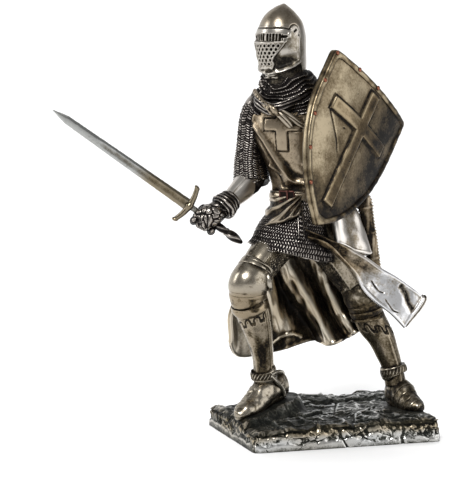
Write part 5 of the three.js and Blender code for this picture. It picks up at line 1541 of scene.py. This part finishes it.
def plinth_side(brink):
    """Chipped rock over a plain band: rings of points from the top's brink to the foot, and their wear with
    painted shade on the left face.
    """
    reach = np.abs(brink[:, :2]) / [PLINTH_LENGTH / 2 - EDGE_INSET, PLINTH_DEPTH / 2 - EDGE_INSET]
    outward = np.zeros(brink.shape)
    outward[:, :2] = np.sign(brink[:, :2]) * (reach > 0.9999)
    corner = ease(0.93, 1, reach.min(1)) ** 2
    run = np.where(np.abs(outward[:, 0]) > 0.5, brink[:, 1], brink[:, 0])
    # painted shade on the left face
    left = 0.32 * (outward[:, 0] < 0)
    rings, darks = [brink], [0 * corner]
    for level in np.linspace(1, 0, 27)[1:]:
        ring = (brink + outward * EDGE_INSET) * [1, 1, level]
        z = ring[:, 2]
        plain = ease(PLAIN_BAND, PLAIN_BAND - 1.6, z + 1.2 * noise(ring, 6, 2))
        warped = run + 2.2 * noise(ring, 6, 5), 1.5 * z + 2 * noise(ring, 5, 8)
        i, j, dx, dz, gap = cells(*warped, ROCK_CELL)
        facet = scatter(i, j, 2) + 0.16 * dx * (scatter(i, j, 3) - 0.5) + 0.16 * dz * (scatter(i, j, 4) - 0.5)
        seam = hill(gap, 0, 0.6) * ease(0.5, 0.75, scatter(i, j, 6)) * ease(-0.3, 0.4, noise(ring, 4, 37))
        crest = ridged(ring + 0.8 * noise(ring, 3, 5)[:, None], 3.4, 41)
        crack = sum(hill(near(ring, path)[0], 0, wide) for path, wide in CRACKS)
        chips = 0.9 * facet + 0.9 * seam + 1.7 * (0.85 - crest) * ease(-0.4, 0.3, noise(ring, 7, 17))
        cut = 0.2 + chips * (1 - 0.9 * plain) + 1.5 * ease(0.7, 1, level) ** 2 + crack + 0.7 * corner
        rings.append(ring - outward * np.clip(cut, 0, 2.8)[:, None])
        scratches = ease(0.1, 0.6, noise(ring * [1, 1, 1.6], 1.9, 12)) * ease(-0.4, 0.4, noise(ring, 6, 15))
        dark = 0.2 * ease(4, 9, z + 2 * noise(ring, 5, 7)) + 0.62 * (scratches * (1 - plain)) + 0.7 * crack
        dark = dark + 0.4 * seam + 0.2 * facet * (1 - plain)
        dark += 0.45 * ease(0.45, 0.7, noise(ring * [0.6, 0.6, 1], 2.6, 19)) * plain
        darks.append(dark + left - 0.25)
    side = np.array(rings)
    return side, worn(side, grid_normals(side, True, side), True) - np.array(darks)


def plinth():
    top, top_wear = plinth_top()
    side, side_wear_and_shade = plinth_side(border(top))
    count = top_wear.size
    above = border(np.arange(count).reshape(top_wear.shape))
    quads = [grid_quads(*top_wear.shape, False)]
    for level in range(len(side) - 1):
        below = count + level * len(above) + np.arange(len(above))
        quads.append(np.stack([above, below, np.roll(below, -1), np.roll(above, -1)], -1))
        above = below
    points = np.concatenate([top.reshape(-1, 3), side[1:].reshape(-1, 3), [[0, 0, 0]]])
    fan = np.stack([np.full(len(above), len(points) - 1), np.roll(above, -1), above], -1)
    wear_and_shade = np.concatenate([top_wear.ravel(), side_wear_and_shade[1:].ravel(), [0.5]])
    x, y, z = points.T
    rim = ease(0.84, 0.97, edge_share(x, y))
    tint_and_shade = 0.2 + 0.3 * noise(points, 16, 8) + 0.8 * rim * ease(4, 8.5, z + 2 * noise(points, 7, 4))
    # painted shade: the left face tinted darker
    tint_and_shade += 0.5 * ease(2 - PLINTH_LENGTH / 2, -PLINTH_LENGTH / 2, x)
    return shell(points, np.concatenate(quads), fan, wear_and_shade, tint_and_shade)


# The statue

cowl, ties = neck()
chest, strap, buckle = torso()
sleeve, forearm, gauntlet = right_arm()
left_sleeve, left_forearm = left_arm()

piece("helmet", "knight", helmet(), "polished_plate")
piece("mail_collar", "knight", cowl, "dark_mail")
piece("neck_ties", "knight", ties, "draped_metal")
piece("surcoat_chest", "knight", chest, "draped_metal")
piece("belt_strap", "knight", strap, "dark_mail")
piece("belt_buckle", "knight", buckle, "red_brown")
piece("mail_sleeves", "knight", sleeve + left_sleeve, "dark_mail")
piece("arm_plates", "knight", forearm + left_forearm, "bright_cloth")
piece("gauntlet_and_pommel", "knight", gauntlet, "dark_mail")
piece("mail_skirt", "knight", [mail_skirt()], "dark_mail")
piece("surcoat_front", "knight", [short_front(), scabbard()], "draped_metal")
piece("surcoat_back", "knight", [long_back()], "coat_metal")
piece("surcoat_flap", "knight", [hip_cloth(), *flying_flap()], "bright_cloth")
piece("right_leg_armour", "knight", right_leg(), "leg_plate")
piece("left_leg_armour", "knight", left_leg(), "leg_plate")
piece("shield_board", "shield", shield(), "shield_bronze")
piece("shield_rivets", "shield", rivets(), "warm_copper")
piece("drawn_sword", "sword", sword(), "blade_steel")
piece("rocky_plinth", "base", [plinth()], "silvered_rock", lambda points: points * MM)


# Studio

LAMP_AIM = Vector((0, 0, 0.12))
WALL, BEND = 2.2, 0.8  # where the backdrop's wall stands, and the radius of its bend
CAMERA_PLACE = Vector((-0.3473, -0.9335, 0.2008))
CAMERA_AIM = Vector((-0.04835, 0.01523, 0.09868))
CAMERA_LENS = 135.23


def backdrop():
    """A pale floor that curves up into a pale wall behind the statue."""
    profile = [(-4.0, 0.0), (WALL - BEND, 0.0)]
    for n in range(1, 13):
        angle = math.radians(90 * n / 12)
        profile.append((WALL - BEND + BEND * math.sin(angle), BEND - BEND * math.cos(angle)))
    profile.append((WALL, 3.0))
    points = [(x, y, z) for y, z in profile for x in (-4.0, 4.0)]
    faces = [(2 * n, 2 * n + 1, 2 * n + 3, 2 * n + 2) for n in range(len(profile) - 1)]
    paper, shader = new_material("pale_paper")
    shader.inputs["Base Color"].default_value = (0.90, 0.90, 0.90, 1)
    shader.inputs["Roughness"].default_value = 0.9
    floor = linked("floor", smooth_mesh("floor", points, faces, paper))


def lamp(name, kind, azimuth, elevation, distance, power, **sizes):
    """A light aimed at the statue; azimuth 0 is the plinth's front, and it grows to the right."""
    data = bpy.data.lights.new(name, kind)
    data.energy = power
    for key, value in sizes.items():
        setattr(data, key, value)
    turn, rise = math.radians(azimuth), math.radians(elevation)
    away = Vector((math.sin(turn) * math.cos(rise), -math.cos(turn) * math.cos(rise), math.sin(rise)))
    made = linked(name, data)
    made.location = LAMP_AIM + away * distance
    made.rotation_euler = (-away).to_track_quat("-Z", "Y").to_euler()
    made.visible_camera = False
    made.visible_glossy = not name.startswith("wall")


backdrop()
# name, kind, azimuth, elevation, distance and power
lamp("key", "SUN", -32, 42, 2, 2.2, angle=math.radians(24))
lamp("left_strip", "AREA", -106, 24, 1.1, 3.0, shape="RECTANGLE", size=0.25, size_y=0.6)
lamp("right_panel", "AREA", 52, 12, 1.1, 3.4, shape="RECTANGLE", size=0.8, size_y=0.8)
lamp("wall_wash", "AREA", 180, 60, 1.6, 20, shape="RECTANGLE", size=2.4, size_y=0.5)

world = bpy.data.worlds.new("studio")
world.use_nodes = True
world.node_tree.nodes["Background"].inputs["Color"].default_value = (0.80, 0.80, 0.80, 1)
world.node_tree.nodes["Background"].inputs["Strength"].default_value = 0.34
bpy.context.scene.world = world
bpy.context.scene.view_settings.view_transform = "Standard"

camera = linked("camera", bpy.data.cameras.new("camera"))
camera.data.sensor_width = 36
camera.data.lens = CAMERA_LENS
camera.location = CAMERA_PLACE
camera.rotation_euler = (CAMERA_AIM - CAMERA_PLACE).to_track_quat("-Z", "Y").to_euler()
camera.data.clip_end = 20
bpy.context.scene.camera = camera
